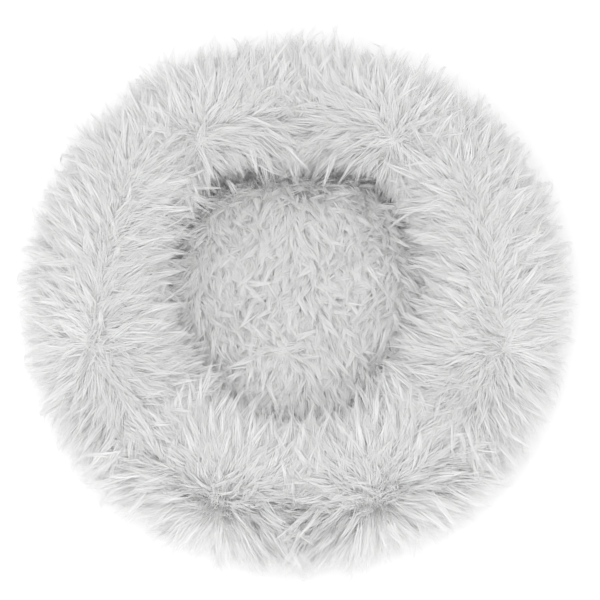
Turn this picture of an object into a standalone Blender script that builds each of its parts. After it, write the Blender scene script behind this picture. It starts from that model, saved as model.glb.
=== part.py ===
"""Round plush pet bed: a faux-fur ring bolster round a sunken fur pad, on a non-slip base.

The fur cover comes off for washing, so the ring and the pad are filled inner cushions, each in
a liner of its own, and a zip at the lower back edge joins the cover to the base panel.

Frame: metres, +Z up, origin on the floor at the bed's centre, the sleeper's front towards -Y.
"""

import math

import bmesh
import bpy
from mathutils import Matrix

# Whole bed
BED_RADIUS = 0.285
BED_HEIGHT = 0.180
PILE_DEPTH = 0.018
SEGMENTS = 40

# Layers, from the floor up and from the filling out
BASE_THICKNESS = 0.0016
LINER_THICKNESS = 0.0008
LAYER_GAP = 0.0004
SEAM_GAP = 0.0006
SLIT_HEIGHT = 0.004
SLIT_HALF_ANGLE = 15.0
LINER_OFFSET = LAYER_GAP + LINER_THICKNESS
COVER_OFFSET = LINER_OFFSET + LAYER_GAP

# Ring cushion, whose section is a soft square
CORE_HALF_WIDTH = 0.052
CORE_BOTTOM = BASE_THICKNESS + 2 * LAYER_GAP + LINER_THICKNESS
CORE_TOP = BED_HEIGHT - PILE_DEPTH - COVER_OFFSET
CORE_HALF_HEIGHT = (CORE_TOP - CORE_BOTTOM) / 2
CORE_MIDDLE = (CORE_TOP + CORE_BOTTOM) / 2
RING_RADIUS = BED_RADIUS - PILE_DEPTH - COVER_OFFSET - CORE_HALF_WIDTH
UPPER_ROUNDNESS = 2.3
LOWER_ROUNDNESS = 3.2
SECTION_POINTS = 20

# Fur cover of the ring, open below between its two lower edges
COVER_OUTER_EDGE = 0.0515
COVER_INNER_EDGE = 0.0531
EDGE_PILE_SHARE = 0.45
EDGE_SHARE = 0.055

# Pad cushion and its cover
PAD_CORE_RADIUS = 0.1565
PAD_CORE_MIDDLE = 0.0345
PAD_CORE_RISE = 0.0325
PAD_CORE_DROP = PAD_CORE_MIDDLE - CORE_BOTTOM
PAD_COVER_RADIUS = 0.1392
PAD_CROWN = 0.094
PAD_SHOULDER = 0.074
PAD_POINTS = 7
PAD_SLIT_INNER = 0.080

# Seam tape that joins the pad's cover to the ring's cover
INNER_TAPE_RADII = (0.1375, 0.1585)
INNER_TAPE_HEIGHTS = (0.0513, 0.0525)

# Base panel, whose edge is turned up
BASE_FLAT_RADIUS = 0.2365
RIM_RADIUS = 0.2690
RIM_TOP = 0.0350
RIM_POINTS = 6

# Zip between the cover and the base panel, centred at the back
ZIP_CENTRE_HEIGHT = 0.0433
ZIP_ENDS = (53.0, 127.0)
CHAIN_ENDS = (54.9, 125.1)
ZIP_STEP = 3.0
RIM_STEP = 8.0
TAPE_RADII = (0.2685, 0.2691)
TAPE_REACH = (0.0028, 0.0078)
COIL_RADII = (0.2680, 0.2696)
COIL_REACH = (0.0007, 0.0025)
STOP_RADII = (0.2676, 0.2702)
STOP_SPAN = 0.5
STOP_GAP = 0.2
STOP_REACH = 0.0024
BINDING_RADII = (0.2678, 0.2692)
BINDING_HEIGHTS = (0.0354, 0.0511)
RIM_ENDS = (ZIP_ENDS[1] + 0.3, ZIP_ENDS[0] + 359.7)

# Zip slider and its pull
SLIDER_REST = 56.6
SLIDER_LENGTH = 0.009
SLIDER_REACH = 0.0050
SLIDER_WEB = 0.0003
SLIDER_BACK = (0.2664, 0.2675)
SLIDER_FRONT = (0.2701, 0.2712)
BAR_RADIUS = 0.0006
BAR_SIDES = 12
POST_BITE = 0.0004
BAR_FROM_CENTRE = 0.2735
BRIDGE_HALF_LENGTH = 0.0038
BRIDGE_POST = 0.0011
SLEEVE_BORE = 0.0010
SLEEVE_RADIUS = 0.0017
SLEEVE_HALF_LENGTH = 0.0023
SLEEVE_SIDES = 16
PULL_LENGTH = 0.024
PULL_WIDTH = 0.0062
PULL_SHOULDER = 0.010
PULL_NECK = 0.006
PULL_NECK_INSET = 0.0003
PULL_END_POINTS = 9
PULL_THICKNESS = 0.0012

# Label and seam threads
LABEL_ANGLE = 143.0
LABEL_SIZE = (0.022, 0.0006, 0.034)
LABEL_TOP = 0.0495
LABEL_RADIUS = 0.2707
THREAD_THICKNESS = 0.0004
THREAD_GAP = 0.0003
RIM_THREAD_HEIGHTS = (0.0380, 0.0482)
ZIP_THREAD_REACH = 0.0066

FUR = (0.72, 0.71, 0.69)
WOVEN = (0.42, 0.42, 0.43)
LINER_CLOTH = (0.80, 0.80, 0.78)
FIBRE = (0.86, 0.86, 0.85)
TAPE_CLOTH = (0.62, 0.61, 0.60)
NYLON = (0.66, 0.65, 0.64)
NICKEL = (0.66, 0.66, 0.67)
LABEL_CLOTH = (0.88, 0.88, 0.87)
THREAD = (0.74, 0.73, 0.72)


def clear_scene():
    """Empty the scene, so the model starts from nothing."""
    for obj in list(bpy.data.objects):
        bpy.data.objects.remove(obj, do_unlink=True)


def make_material(name, colour, roughness, metallic=0.0):
    """One plain Principled material."""
    material = bpy.data.materials.new(name)
    material.use_nodes = True
    shader = material.node_tree.nodes["Principled BSDF"]
    shader.inputs["Base Color"].default_value = (*colour, 1.0)
    shader.inputs["Roughness"].default_value = roughness
    shader.inputs["Metallic"].default_value = metallic
    return material


def add_object(name, shape, material, smooth=True):
    """Turn a bmesh into a named object with its normals facing out."""
    bmesh.ops.recalc_face_normals(shape, faces=shape.faces)
    mesh = bpy.data.meshes.new(name)
    shape.to_mesh(mesh)
    shape.free()
    if smooth:
        mesh.shade_smooth()
        mesh.set_sharp_from_angle(angle=math.radians(40))
    mesh.materials.append(material)
    obj = bpy.data.objects.new(name, mesh)
    bpy.context.scene.collection.objects.link(obj)
    return obj


# ---------------------------------------------------------------- outlines (radius, height)


def soft_square(angle, centre, half_width, half_height):
    """A point on a section that is round above and squarer below, at an angle from +R."""
    power = 2.0 / (UPPER_ROUNDNESS if math.sin(angle) >= 0 else LOWER_ROUNDNESS)
    across = math.copysign(abs(math.cos(angle)) ** power, math.cos(angle))
    upward = math.copysign(abs(math.sin(angle)) ** power, math.sin(angle))
    return centre[0] + half_width * across, centre[1] + half_height * upward


def section_angles(first=0.0, last=2 * math.pi):
    """The ring section's angles between two limits, the same for every layer, so that the
    layers' facets stay parallel."""
    step = 2 * math.pi / SECTION_POINTS
    turns = (step * i for i in range(-SECTION_POINTS, SECTION_POINTS))
    return [angle for angle in turns if first <= angle < last - 0.001]


def ring_section(offset):
    """Closed outline of the ring cushion, grown by an offset."""
    centre = (RING_RADIUS, CORE_MIDDLE)
    return [
        soft_square(a, centre, CORE_HALF_WIDTH + offset, CORE_HALF_HEIGHT + offset)
        for a in section_angles()
    ]


def edge_angle(height):
    """How far below the section's widest line its backing reaches a height."""
    drop = (CORE_MIDDLE - height) / (CORE_HALF_HEIGHT + COVER_OFFSET)
    return math.asin(drop ** (LOWER_ROUNDNESS / 2))


def cover_section():
    """Outline of the ring's fur: backing inside, pile outside, thinner at both lower edges."""
    centre = (RING_RADIUS, CORE_MIDDLE)
    first = -edge_angle(COVER_OUTER_EDGE)
    last = math.pi + edge_angle(COVER_INNER_EDGE)
    edges = (COVER_OUTER_EDGE, COVER_INNER_EDGE)
    inner = COVER_OFFSET
    backing, pile = [], []
    for angle in [first, *section_angles(first, last), last]:
        share = (angle - first) / (last - first)
        near_edge = min(share, 1 - share) / EDGE_SHARE
        swell = math.sin(min(near_edge, 1.0) * math.pi / 2)
        outer = inner + PILE_DEPTH * (EDGE_PILE_SHARE + (1 - EDGE_PILE_SHARE) * swell)
        backing.append(
            soft_square(angle, centre, CORE_HALF_WIDTH + inner, CORE_HALF_HEIGHT + inner)
        )
        pile.append(
            soft_square(angle, centre, CORE_HALF_WIDTH + outer, CORE_HALF_HEIGHT + outer)
        )
    pile[0] = (pile[0][0], edges[0])
    pile[-1] = (pile[-1][0], edges[1])
    return backing + pile[::-1]


def pad_curve(offset, end_angle):
    """Open outline of the pad cushion's crowned skin from its axis down to an angle, with the
    same angles on every layer above that."""
    step = math.pi / 2 / PAD_POINTS
    turns = [math.pi / 2 - step * i for i in range(PAD_POINTS)]
    turns = [angle for angle in turns if angle > end_angle] + [end_angle]
    return [
        (
            (PAD_CORE_RADIUS + offset) * math.cos(angle) if angle < math.pi / 2 else 0.0,
            PAD_CORE_MIDDLE + (PAD_CORE_RISE + offset) * math.sin(angle),
        )
        for angle in turns
    ]


def pad_skin(offset):
    """Whole outline of the pad cushion's skin, from its top to its bottom on the axis."""
    upper = pad_curve(offset, 0.0)
    lower = [
        (
            (PAD_CORE_RADIUS + offset) * math.cos(angle) ** (2 / LOWER_ROUNDNESS),
            PAD_CORE_MIDDLE - (PAD_CORE_DROP + offset) * math.sin(angle) ** (2 / LOWER_ROUNDNESS),
        )
        for angle in (math.pi / 2 * i / 5 for i in range(1, 5))
    ]
    return upper + lower + [(0.0, PAD_CORE_MIDDLE - PAD_CORE_DROP - offset)]


def pad_cover_section():
    """Outline of the pad's fur: a low dome whose side drops to the seam tape."""
    edge = INNER_TAPE_HEIGHTS[1] + SEAM_GAP
    rise = PAD_CORE_RISE + COVER_OFFSET
    inside = pad_curve(COVER_OFFSET, math.asin((edge - PAD_CORE_MIDDLE) / rise))
    shoulder = PAD_CROWN - PAD_SHOULDER
    dome = []
    for i in range(PAD_POINTS + 2):
        angle = math.pi / 2 * i / (PAD_POINTS + 1)
        power = 2.0 / UPPER_ROUNDNESS
        dome.append(
            (
                PAD_COVER_RADIUS * math.cos(angle) ** power if i <= PAD_POINTS else 0.0,
                PAD_SHOULDER + shoulder * math.sin(angle) ** power,
            )
        )
    return inside + [(PAD_COVER_RADIUS, edge)] + dome


def base_section():
    """Outline of the base panel: flat on the floor, with its edge turned up."""
    outside, inside = [], []
    for i in range(RIM_POINTS + 1):
        angle = math.pi / 2 * i / RIM_POINTS
        turn = RIM_RADIUS - BASE_FLAT_RADIUS
        outside.append(
            (
                BASE_FLAT_RADIUS + turn * math.sin(angle),
                RIM_TOP * (1 - math.cos(angle)),
            )
        )
        inside.append(
            (
                BASE_FLAT_RADIUS + (turn - BASE_THICKNESS) * math.sin(angle),
                RIM_TOP - (RIM_TOP - BASE_THICKNESS) * math.cos(angle),
            )
        )
    return [(0.0, 0.0)] + outside + inside[::-1] + [(0.0, BASE_THICKNESS)]


def box_section(radii, heights):
    """A rectangular outline between two radii and two heights."""
    return [
        (radii[0], heights[0]),
        (radii[1], heights[0]),
        (radii[1], heights[1]),
        (radii[0], heights[1]),
    ]


# ---------------------------------------------------------------- solids


def spin_outline(shape, outline, closed=True):
    """Turn an outline in the XZ plane a full turn about Z."""
    verts = [shape.verts.new((radius, 0.0, height)) for radius, height in outline]
    pairs = list(zip(verts, verts[1:]))
    if closed:
        pairs.append((verts[-1], verts[0]))
    edges = [shape.edges.new(pair) for pair in pairs]
    bmesh.ops.spin(
        shape,
        geom=verts + edges,
        cent=(0, 0, 0),
        axis=(0, 0, 1),
        angle=2 * math.pi,
        steps=SEGMENTS,
        use_merge=True,
    )
    bmesh.ops.remove_doubles(shape, verts=shape.verts, dist=0.000001)


def turned_solid(name, outline, material, closed=True):
    """A solid turned from one outline."""
    shape = bmesh.new()
    spin_outline(shape, outline, closed)
    return add_object(name, shape, material)


def window_faces(shape, height_limit, half_span):
    """Faces of a low window across +X, one section step high, on one skin of a liner."""
    lowest = [f for f in shape.faces if f.calc_center_median().z < height_limit]
    return [
        f
        for f in lowest
        if abs(math.degrees(math.atan2(f.calc_center_median().y, f.calc_center_median().x)))
        < half_span
    ]


def liner_solid(name, outlines, closed, pick_radius, material):
    """A thin bag with two skins, joined round the edge of its stuffing slit on the underside."""
    shape = bmesh.new()
    for outline in outlines:
        skin = bmesh.new()
        spin_outline(skin, outline, closed)
        heights = [v.co.z for v in skin.verts]
        slit = [
            f
            for f in window_faces(skin, min(heights) + SLIT_HEIGHT, SLIT_HALF_ANGLE)
            if pick_radius[0] < f.calc_center_median().xy.length < pick_radius[1]
        ]
        bmesh.ops.delete(skin, geom=slit, context="FACES")
        part_mesh = bpy.data.meshes.new(name + "_skin")
        skin.to_mesh(part_mesh)
        skin.free()
        shape.from_mesh(part_mesh)
        bpy.data.meshes.remove(part_mesh)
    rim = [e for e in shape.edges if e.is_boundary]
    bmesh.ops.bridge_loops(shape, edges=rim)
    return add_object(name, shape, material)


def arc_solid(name, outline, ends, step, material):
    """A solid that follows part of a circle, with a flat face at each end."""
    shape = bmesh.new()
    verts = [shape.verts.new((radius, 0.0, height)) for radius, height in outline]
    first = shape.faces.new(verts)
    bmesh.ops.rotate(
        shape,
        verts=shape.verts,
        cent=(0, 0, 0),
        matrix=turn_matrix(ends[0]),
    )
    steps = max(1, round((ends[1] - ends[0]) / step))
    bmesh.ops.spin(
        shape,
        geom=verts + first.edges[:] + [first],
        cent=(0, 0, 0),
        axis=(0, 0, 1),
        angle=math.radians(ends[1] - ends[0]),
        steps=steps,
    )
    return add_object(name, shape, material)


def turn_matrix(degrees):
    """Rotation about the bed's vertical axis."""
    return Matrix.Rotation(math.radians(degrees), 3, "Z")


def add_block(shape, centre, size, degrees=0.0):
    """A box at a place in the front frame, then turned about the bed's axis."""
    made = bmesh.ops.create_cube(shape, size=1.0)["verts"]
    bmesh.ops.scale(shape, vec=size, verts=made)
    bmesh.ops.translate(shape, vec=centre, verts=made)
    bmesh.ops.rotate(shape, verts=made, cent=(0, 0, 0), matrix=turn_matrix(degrees))


def thread_line(name, radius, height, ends, step, material):
    """One seam thread that lies on a tape or a binding."""
    half = THREAD_THICKNESS / 2
    outline = box_section((radius, radius + THREAD_THICKNESS), (height - half, height + half))
    return arc_solid(name, outline, ends, step, material)


def union_into(target, pieces):
    """Join helper pieces to an object with exact unions, and remove the helpers."""
    for piece in pieces:
        union = target.modifiers.new("union", "BOOLEAN")
        union.operation = "UNION"
        union.solver = "EXACT"
        union.object = piece
        piece.hide_render = True
        piece.display_type = "WIRE"
        piece.parent = target


def make_slider(metal):
    """Zip slider: two plates joined by a web between the coils, and a bridge for the pull."""
    half = SLIDER_LENGTH / 2
    low, high = ZIP_CENTRE_HEIGHT - SLIDER_REACH, ZIP_CENTRE_HEIGHT + SLIDER_REACH
    web_low, web_high = ZIP_CENTRE_HEIGHT - SLIDER_WEB, ZIP_CENTRE_HEIGHT + SLIDER_WEB
    outline = [
        (SLIDER_BACK[0], low),
        (SLIDER_BACK[1], low),
        (SLIDER_BACK[1], web_low),
        (SLIDER_FRONT[0], web_low),
        (SLIDER_FRONT[0], low),
        (SLIDER_FRONT[1], low),
        (SLIDER_FRONT[1], high),
        (SLIDER_FRONT[0], high),
        (SLIDER_FRONT[0], web_high),
        (SLIDER_BACK[1], web_high),
        (SLIDER_BACK[1], high),
        (SLIDER_BACK[0], high),
    ]
    shape = bmesh.new()
    verts = [shape.verts.new((-half, radius, height)) for radius, height in outline]
    face = shape.faces.new(verts)
    made = bmesh.ops.extrude_face_region(shape, geom=[face])["geom"]
    moved = [item for item in made if isinstance(item, bmesh.types.BMVert)]
    bmesh.ops.translate(shape, vec=(SLIDER_LENGTH, 0, 0), verts=moved)
    slider = add_object("zip_slider", shape, metal, smooth=False)
    slider.rotation_euler.z = math.radians(SLIDER_REST - 90.0)
    return slider


def make_bridge(metal):
    """The bridge over the slider's front plate: two posts and a round bar between them."""
    reach = BRIDGE_HALF_LENGTH
    depth = BAR_FROM_CENTRE + BAR_RADIUS - SLIDER_FRONT[1] + POST_BITE
    posts = bmesh.new()
    for side in (-1, 1):
        place = (
            side * (reach - BRIDGE_POST / 2),
            BAR_FROM_CENTRE + BAR_RADIUS - depth / 2,
            ZIP_CENTRE_HEIGHT,
        )
        add_block(posts, place, (BRIDGE_POST, depth, 3 * BAR_RADIUS))
    bar = bmesh.new()
    bmesh.ops.create_cone(
        bar,
        cap_ends=True,
        segments=BAR_SIDES,
        radius1=BAR_RADIUS,
        radius2=BAR_RADIUS,
        depth=2 * reach - BRIDGE_POST,
    )
    lay_along_x(bar)
    bmesh.ops.translate(bar, vec=(0, BAR_FROM_CENTRE, ZIP_CENTRE_HEIGHT), verts=bar.verts)
    return [
        add_object("bridge_posts", posts, metal, smooth=False),
        add_object("bridge_bar", bar, metal),
    ]


def lay_along_x(shape):
    """Turn an upright shape so that its axis lies along X."""
    turn = Matrix.Rotation(math.pi / 2, 3, "Y")
    bmesh.ops.rotate(shape, verts=shape.verts, cent=(0, 0, 0), matrix=turn)


def make_pull(metal, slider):
    """Pull tab that hangs from a sleeve round the slider's bar, with its origin on the bar."""
    sleeve = bmesh.new()
    rings = []
    for radius in (SLEEVE_BORE, SLEEVE_RADIUS):
        for end in (-SLEEVE_HALF_LENGTH, SLEEVE_HALF_LENGTH):
            rings.append(circle_verts(sleeve, radius, end))
    order = (rings[0], rings[1], rings[3], rings[2])
    for first, second in zip(order, order[1:] + order[:1]):
        stitch_rings(sleeve, first, second)
    pull = add_object("zip_pull", sleeve, metal)

    outline = []
    half = PULL_WIDTH / 2
    for i in range(PULL_END_POINTS):
        angle = -math.pi * i / (PULL_END_POINTS - 1)
        outline.append(
            (half * math.cos(angle), -(PULL_LENGTH - half) + half * math.sin(angle))
        )
    top = -(SLEEVE_RADIUS + SLEEVE_BORE) / 2
    neck = SLEEVE_HALF_LENGTH - PULL_NECK_INSET
    outline += [(-half, -PULL_SHOULDER), (-neck, -PULL_NECK), (-neck, top)]
    outline += [(neck, top), (neck, -PULL_NECK), (half, -PULL_SHOULDER)]
    tab = bmesh.new()
    verts = [tab.verts.new((x, -PULL_THICKNESS / 2, z)) for x, z in outline]
    face = tab.faces.new(verts)
    made = bmesh.ops.extrude_face_region(tab, geom=[face])["geom"]
    moved = [item for item in made if isinstance(item, bmesh.types.BMVert)]
    bmesh.ops.translate(tab, vec=(0, PULL_THICKNESS, 0), verts=moved)
    union_into(pull, [add_object("pull_tab", tab, metal, smooth=False)])
    pull.parent = slider
    pull.location = (0.0, BAR_FROM_CENTRE, ZIP_CENTRE_HEIGHT)
    return pull


def circle_verts(shape, radius, place):
    """A ring of points round the X axis."""
    return [
        shape.verts.new(
            (
                place,
                radius * math.cos(2 * math.pi * i / SLEEVE_SIDES),
                radius * math.sin(2 * math.pi * i / SLEEVE_SIDES),
            )
        )
        for i in range(SLEEVE_SIDES)
    ]


def stitch_rings(shape, first, second):
    """Quads between two rings with the same number of points."""
    count = len(first)
    for i in range(count):
        j = (i + 1) % count
        shape.faces.new((first[i], first[j], second[j], second[i]))


# ---------------------------------------------------------------- the bed


def build_covers(fur, tape):
    """Fur outside: the ring's cover, the pad's cover and the seam tape between them."""
    turned_solid("bolster_cover", cover_section(), fur)
    turned_solid("pad_cover", pad_cover_section(), fur, closed=False)
    turned_solid("inner_seam_tape", box_section(INNER_TAPE_RADII, INNER_TAPE_HEIGHTS), tape)


def build_cushions(liner, fibre):
    """Two inner cushions, each a filling in its own liner."""
    turned_solid("bolster_filling", ring_section(0.0), fibre)
    liner_solid(
        "bolster_liner",
        (ring_section(LAYER_GAP), ring_section(LINER_OFFSET)),
        True,
        (RING_RADIUS - CORE_HALF_WIDTH / 2, RING_RADIUS),
        liner,
    )
    turned_solid("pad_filling", pad_skin(0.0), fibre, closed=False)
    liner_solid(
        "pad_liner",
        (pad_skin(LAYER_GAP), pad_skin(LINER_OFFSET)),
        False,
        (PAD_SLIT_INNER, PAD_CORE_RADIUS),
        liner,
    )


def build_base(woven, tape):
    """Base panel and the binding that joins its edge to the cover where there is no zip."""
    turned_solid("base_panel", base_section(), woven, closed=False)
    binding = box_section(BINDING_RADII, BINDING_HEIGHTS)
    arc_solid("rim_binding", binding, RIM_ENDS, RIM_STEP, tape)


def build_zip(tape, nylon, metal):
    """Zip at the back: two tapes, two coils, an end stop at each end, slider and pull."""
    for name, side in (("upper", 1), ("lower", -1)):
        heights = sorted(ZIP_CENTRE_HEIGHT + side * reach for reach in TAPE_REACH)
        arc_solid("zip_tape_" + name, box_section(TAPE_RADII, heights), ZIP_ENDS, ZIP_STEP, tape)
        heights = sorted(ZIP_CENTRE_HEIGHT + side * reach for reach in COIL_REACH)
        arc_solid("zip_coil_" + name, box_section(COIL_RADII, heights), CHAIN_ENDS, ZIP_STEP, nylon)
    heights = (ZIP_CENTRE_HEIGHT - STOP_REACH, ZIP_CENTRE_HEIGHT + STOP_REACH)
    for name, start in (
        ("closed", CHAIN_ENDS[0] - STOP_SPAN - STOP_GAP),
        ("open", CHAIN_ENDS[1] + STOP_GAP),
    ):
        outline = box_section(STOP_RADII, heights)
        arc_solid("zip_stop_" + name, outline, (start, start + STOP_SPAN), ZIP_STEP, metal)
    slider = make_slider(metal)
    bridge = make_bridge(metal)
    union_into(slider, bridge)
    make_pull(metal, slider)


def build_trim(label_cloth, thread):
    """Blank care label, and the two seam threads along the rim and along the zip's tapes."""
    label = bmesh.new()
    centre = (0.0, LABEL_RADIUS, LABEL_TOP - LABEL_SIZE[2] / 2)
    add_block(label, centre, LABEL_SIZE, LABEL_ANGLE - 90.0)
    add_object("care_label", label, label_cloth, smooth=False)
    rim = BINDING_RADII[1] + THREAD_GAP
    zip_face = TAPE_RADII[1] + THREAD_GAP
    for name, side, height in (
        ("lower", -1, RIM_THREAD_HEIGHTS[0]),
        ("upper", 1, RIM_THREAD_HEIGHTS[1]),
    ):
        thread_line("rim_thread_" + name, rim, height, RIM_ENDS, RIM_STEP, thread)
        place = ZIP_CENTRE_HEIGHT + side * ZIP_THREAD_REACH
        thread_line("zip_thread_" + name, zip_face, place, ZIP_ENDS, ZIP_STEP, thread)


def build():
    """Build the whole bed."""
    clear_scene()
    fur = make_material("fur", FUR, 0.9)
    woven = make_material("base_cloth", WOVEN, 0.85)
    liner = make_material("liner_cloth", LINER_CLOTH, 0.85)
    fibre = make_material("fibre_filling", FIBRE, 0.95)
    tape = make_material("tape_cloth", TAPE_CLOTH, 0.85)
    nylon = make_material("zip_nylon", NYLON, 0.4)
    metal = make_material("zip_metal", NICKEL, 0.3, metallic=1.0)
    label_cloth = make_material("label_cloth", LABEL_CLOTH, 0.6)
    thread = make_material("thread", THREAD, 0.7)
    build_covers(fur, tape)
    build_cushions(liner, fibre)
    build_base(woven, tape)
    build_zip(tape, nylon, metal)
    build_trim(label_cloth, thread)


build()
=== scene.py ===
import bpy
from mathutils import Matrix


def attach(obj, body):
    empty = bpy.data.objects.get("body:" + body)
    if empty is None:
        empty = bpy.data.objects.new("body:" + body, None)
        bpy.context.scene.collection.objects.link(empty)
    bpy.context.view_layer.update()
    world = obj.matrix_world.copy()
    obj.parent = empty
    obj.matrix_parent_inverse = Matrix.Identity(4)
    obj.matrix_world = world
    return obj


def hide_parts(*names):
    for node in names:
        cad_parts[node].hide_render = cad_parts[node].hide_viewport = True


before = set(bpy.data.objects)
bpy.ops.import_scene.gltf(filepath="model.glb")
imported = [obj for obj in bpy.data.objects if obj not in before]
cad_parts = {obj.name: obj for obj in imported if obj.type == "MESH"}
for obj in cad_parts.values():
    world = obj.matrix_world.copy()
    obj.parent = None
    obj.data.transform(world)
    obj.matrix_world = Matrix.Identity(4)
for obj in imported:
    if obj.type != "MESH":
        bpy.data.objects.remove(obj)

"""Looks of the round plush pet bed: shaggy fur, woven base, zip and trim.

Every length is in metres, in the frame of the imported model: +Z up, the zip at the back on +Y.
"""

import logging
import math
from dataclasses import dataclass, field
from enum import Enum
from typing import Callable, Sequence

import bmesh
import bpy
import numpy as np
from mathutils import Vector

LOG = logging.getLogger("plush_bed")
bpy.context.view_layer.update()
BODY = "bed"
Colour = tuple[float, float, float]
Point = tuple[float, float, float]


class Slot(Enum):
    """The record's material slots."""

    FUR = "fur"
    BASE = "base_cloth"
    TAPE = "tape_cloth"
    NYLON = "zip_nylon"
    METAL = "zip_metal"
    LABEL = "label_cloth"
    THREAD = "thread"
    LINER = "liner_cloth"
    FIBRE = "fibre_filling"


# ------------------------------------------------------------------ shared shader groups


@dataclass(frozen=True)
class Socket:
    """One input of a shader group."""

    name: str
    kind: str
    value: object = 0.0


class Nodes:
    """A short way to add and link shader nodes in one tree."""

    def __init__(self, tree: bpy.types.NodeTree) -> None:
        """Remember the tree."""
        self.tree = tree

    def add(self, kind: str, **settings: object) -> bpy.types.Node:
        """Add a node and set its own properties.

        Args:
            kind: Blender's name of the node type, without "ShaderNode".
            settings: Attributes to set on the node.

        Returns:
            The new node.
        """
        node = self.tree.nodes.new("ShaderNode" + kind)
        for name, value in settings.items():
            setattr(node, name, value)
        return node

    def feed(self, target: bpy.types.NodeSocket, source: object) -> None:
        """Give an input a link or a plain value.

        Args:
            target: The input.
            source: An output socket to link, or a value to set.
        """
        if isinstance(source, bpy.types.NodeSocket):
            self.tree.links.new(source, target)
        else:
            target.default_value = source

    def maths(self, operation: str, *sources: object) -> bpy.types.NodeSocket:
        """A Math node's result.

        Args:
            operation: Blender's name of the operation.
            sources: Links or numbers, one for each input.

        Returns:
            The output socket.
        """
        node = self.add("Math", operation=operation)
        for target, source in zip(node.inputs, sources):
            self.feed(target, source)
        return node.outputs[0]

    def mix(self, share: object, first: object, second: object) -> bpy.types.NodeSocket:
        """Two colours mixed by a share.

        Args:
            share: 0 gives the first colour and 1 the second.
            first: A link or a colour.
            second: A link or a colour.

        Returns:
            The mixed colour's socket.
        """
        node = self.add("Mix", data_type="RGBA")
        self.feed(node.inputs["Factor"], share)
        self.feed(node.inputs[6], first)
        self.feed(node.inputs[7], second)
        return node.outputs[2]

    def noise(self, vector: object, scale: object, detail: float = 3.0) -> bpy.types.NodeSocket:
        """Soft noise from 0 to 1.

        Args:
            vector: Where to read it.
            scale: How fine it is.
            detail: How many finer layers it has.

        Returns:
            The noise's socket.
        """
        node = self.add("TexNoise")
        self.feed(node.inputs["Vector"], vector)
        self.feed(node.inputs["Scale"], scale)
        node.inputs["Detail"].default_value = detail
        return node.outputs[0]

    def place(self) -> bpy.types.NodeSocket:
        """Where a point of the piece lies, in the piece's own metres."""
        return self.add("TexCoord").outputs["Object"]

    def scaled(self, colour: object, gain: object) -> bpy.types.NodeSocket:
        """A colour multiplied by a value.

        Args:
            colour: A link or three numbers.
            gain: A link or a number.

        Returns:
            The multiplied colour's socket.
        """
        node = self.add("VectorMath", operation="SCALE")
        self.feed(node.inputs[0], colour)
        self.feed(node.inputs["Scale"], gain)
        return node.outputs[0]


def begin_group(name: str, inputs: Sequence[Socket], outputs: Sequence[Socket]) -> tuple:
    """Start a shader group with named inputs and outputs.

    Args:
        name: The group's name.
        inputs: Its inputs with their first values.
        outputs: Its outputs.

    Returns:
        The group's tree, its Nodes helper, its input node and its output node.
    """
    tree = bpy.data.node_groups.new(name, "ShaderNodeTree")
    for way, sockets in (("INPUT", inputs), ("OUTPUT", outputs)):
        for item in sockets:
            made = tree.interface.new_socket(
                name=item.name, in_out=way, socket_type="NodeSocket" + item.kind
            )
            if way == "INPUT" and item.kind != "Vector":
                made.default_value = item.value
    nodes = Nodes(tree)
    source = tree.nodes.new("NodeGroupInput")
    sink = tree.nodes.new("NodeGroupOutput")
    return tree, nodes, source, sink


WHITE = (1.0, 1.0, 1.0, 1.0)


def build_pile_group() -> bpy.types.NodeTree:
    """Colour of a fibre from its root to its tip, with each lock's own tone.

    Returns:
        The group, whose Along and Tone run from 0 to 1.
    """
    tree, nodes, source, sink = begin_group(
        "Pile tone",
        (
            Socket("Root", "Color", WHITE),
            Socket("Tip", "Color", WHITE),
            Socket("Along", "Float"),
            Socket("Tone", "Float", 0.5),
            Socket("Contrast", "Float", 0.2),
        ),
        (Socket("Color", "Color"),),
    )
    # Blend from the root colour to the tip colour; the finishes give paler roots than tips, painted
    # light that lifts the shade deep in the pile.
    rise = nodes.maths("POWER", source.outputs["Along"], 0.7)
    shade = nodes.mix(rise, source.outputs["Root"], source.outputs["Tip"])
    shift = nodes.maths("SUBTRACT", source.outputs["Tone"], 0.5)
    gain = nodes.maths("MULTIPLY_ADD", shift, source.outputs["Contrast"], 1.0)
    nodes.feed(sink.inputs["Color"], nodes.scaled(shade, gain))
    return tree


def build_weave_group() -> bpy.types.NodeTree:
    """Plain weave: two sets of yarns that pass over and under each other.

    Returns:
        The group, which gives a mask of the yarns' tops and their height.
    """
    tree, nodes, source, sink = begin_group(
        "Weave",
        (Socket("Vector", "Vector"), Socket("Yarns per metre", "Float", 900.0)),
        (Socket("Top", "Float"), Socket("Height", "Float")),
    )
    parts = nodes.add("SeparateXYZ")
    nodes.feed(parts.inputs[0], source.outputs["Vector"])
    turns = nodes.maths("MULTIPLY", source.outputs["Yarns per metre"], math.pi)
    waves = []
    for axis in ("X", "Y"):
        phase = nodes.maths("MULTIPLY", parts.outputs[axis], turns)
        waves.append(nodes.maths("SINE", phase))
    over = nodes.maths("MULTIPLY", waves[0], waves[1])
    ridge = [nodes.maths("ABSOLUTE", wave) for wave in waves]
    warp = nodes.maths("POWER", ridge[0], 0.5)
    weft = nodes.maths("POWER", ridge[1], 0.5)
    side = nodes.maths("GREATER_THAN", over, 0.0)
    first = nodes.maths("MULTIPLY", warp, side)
    rest = nodes.maths("SUBTRACT", 1.0, side)
    second = nodes.maths("MULTIPLY", weft, rest)
    height = nodes.maths("ADD", first, second)
    nodes.feed(sink.inputs["Top"], nodes.maths("MULTIPLY", height, height))
    nodes.feed(sink.inputs["Height"], height)
    return tree


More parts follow.
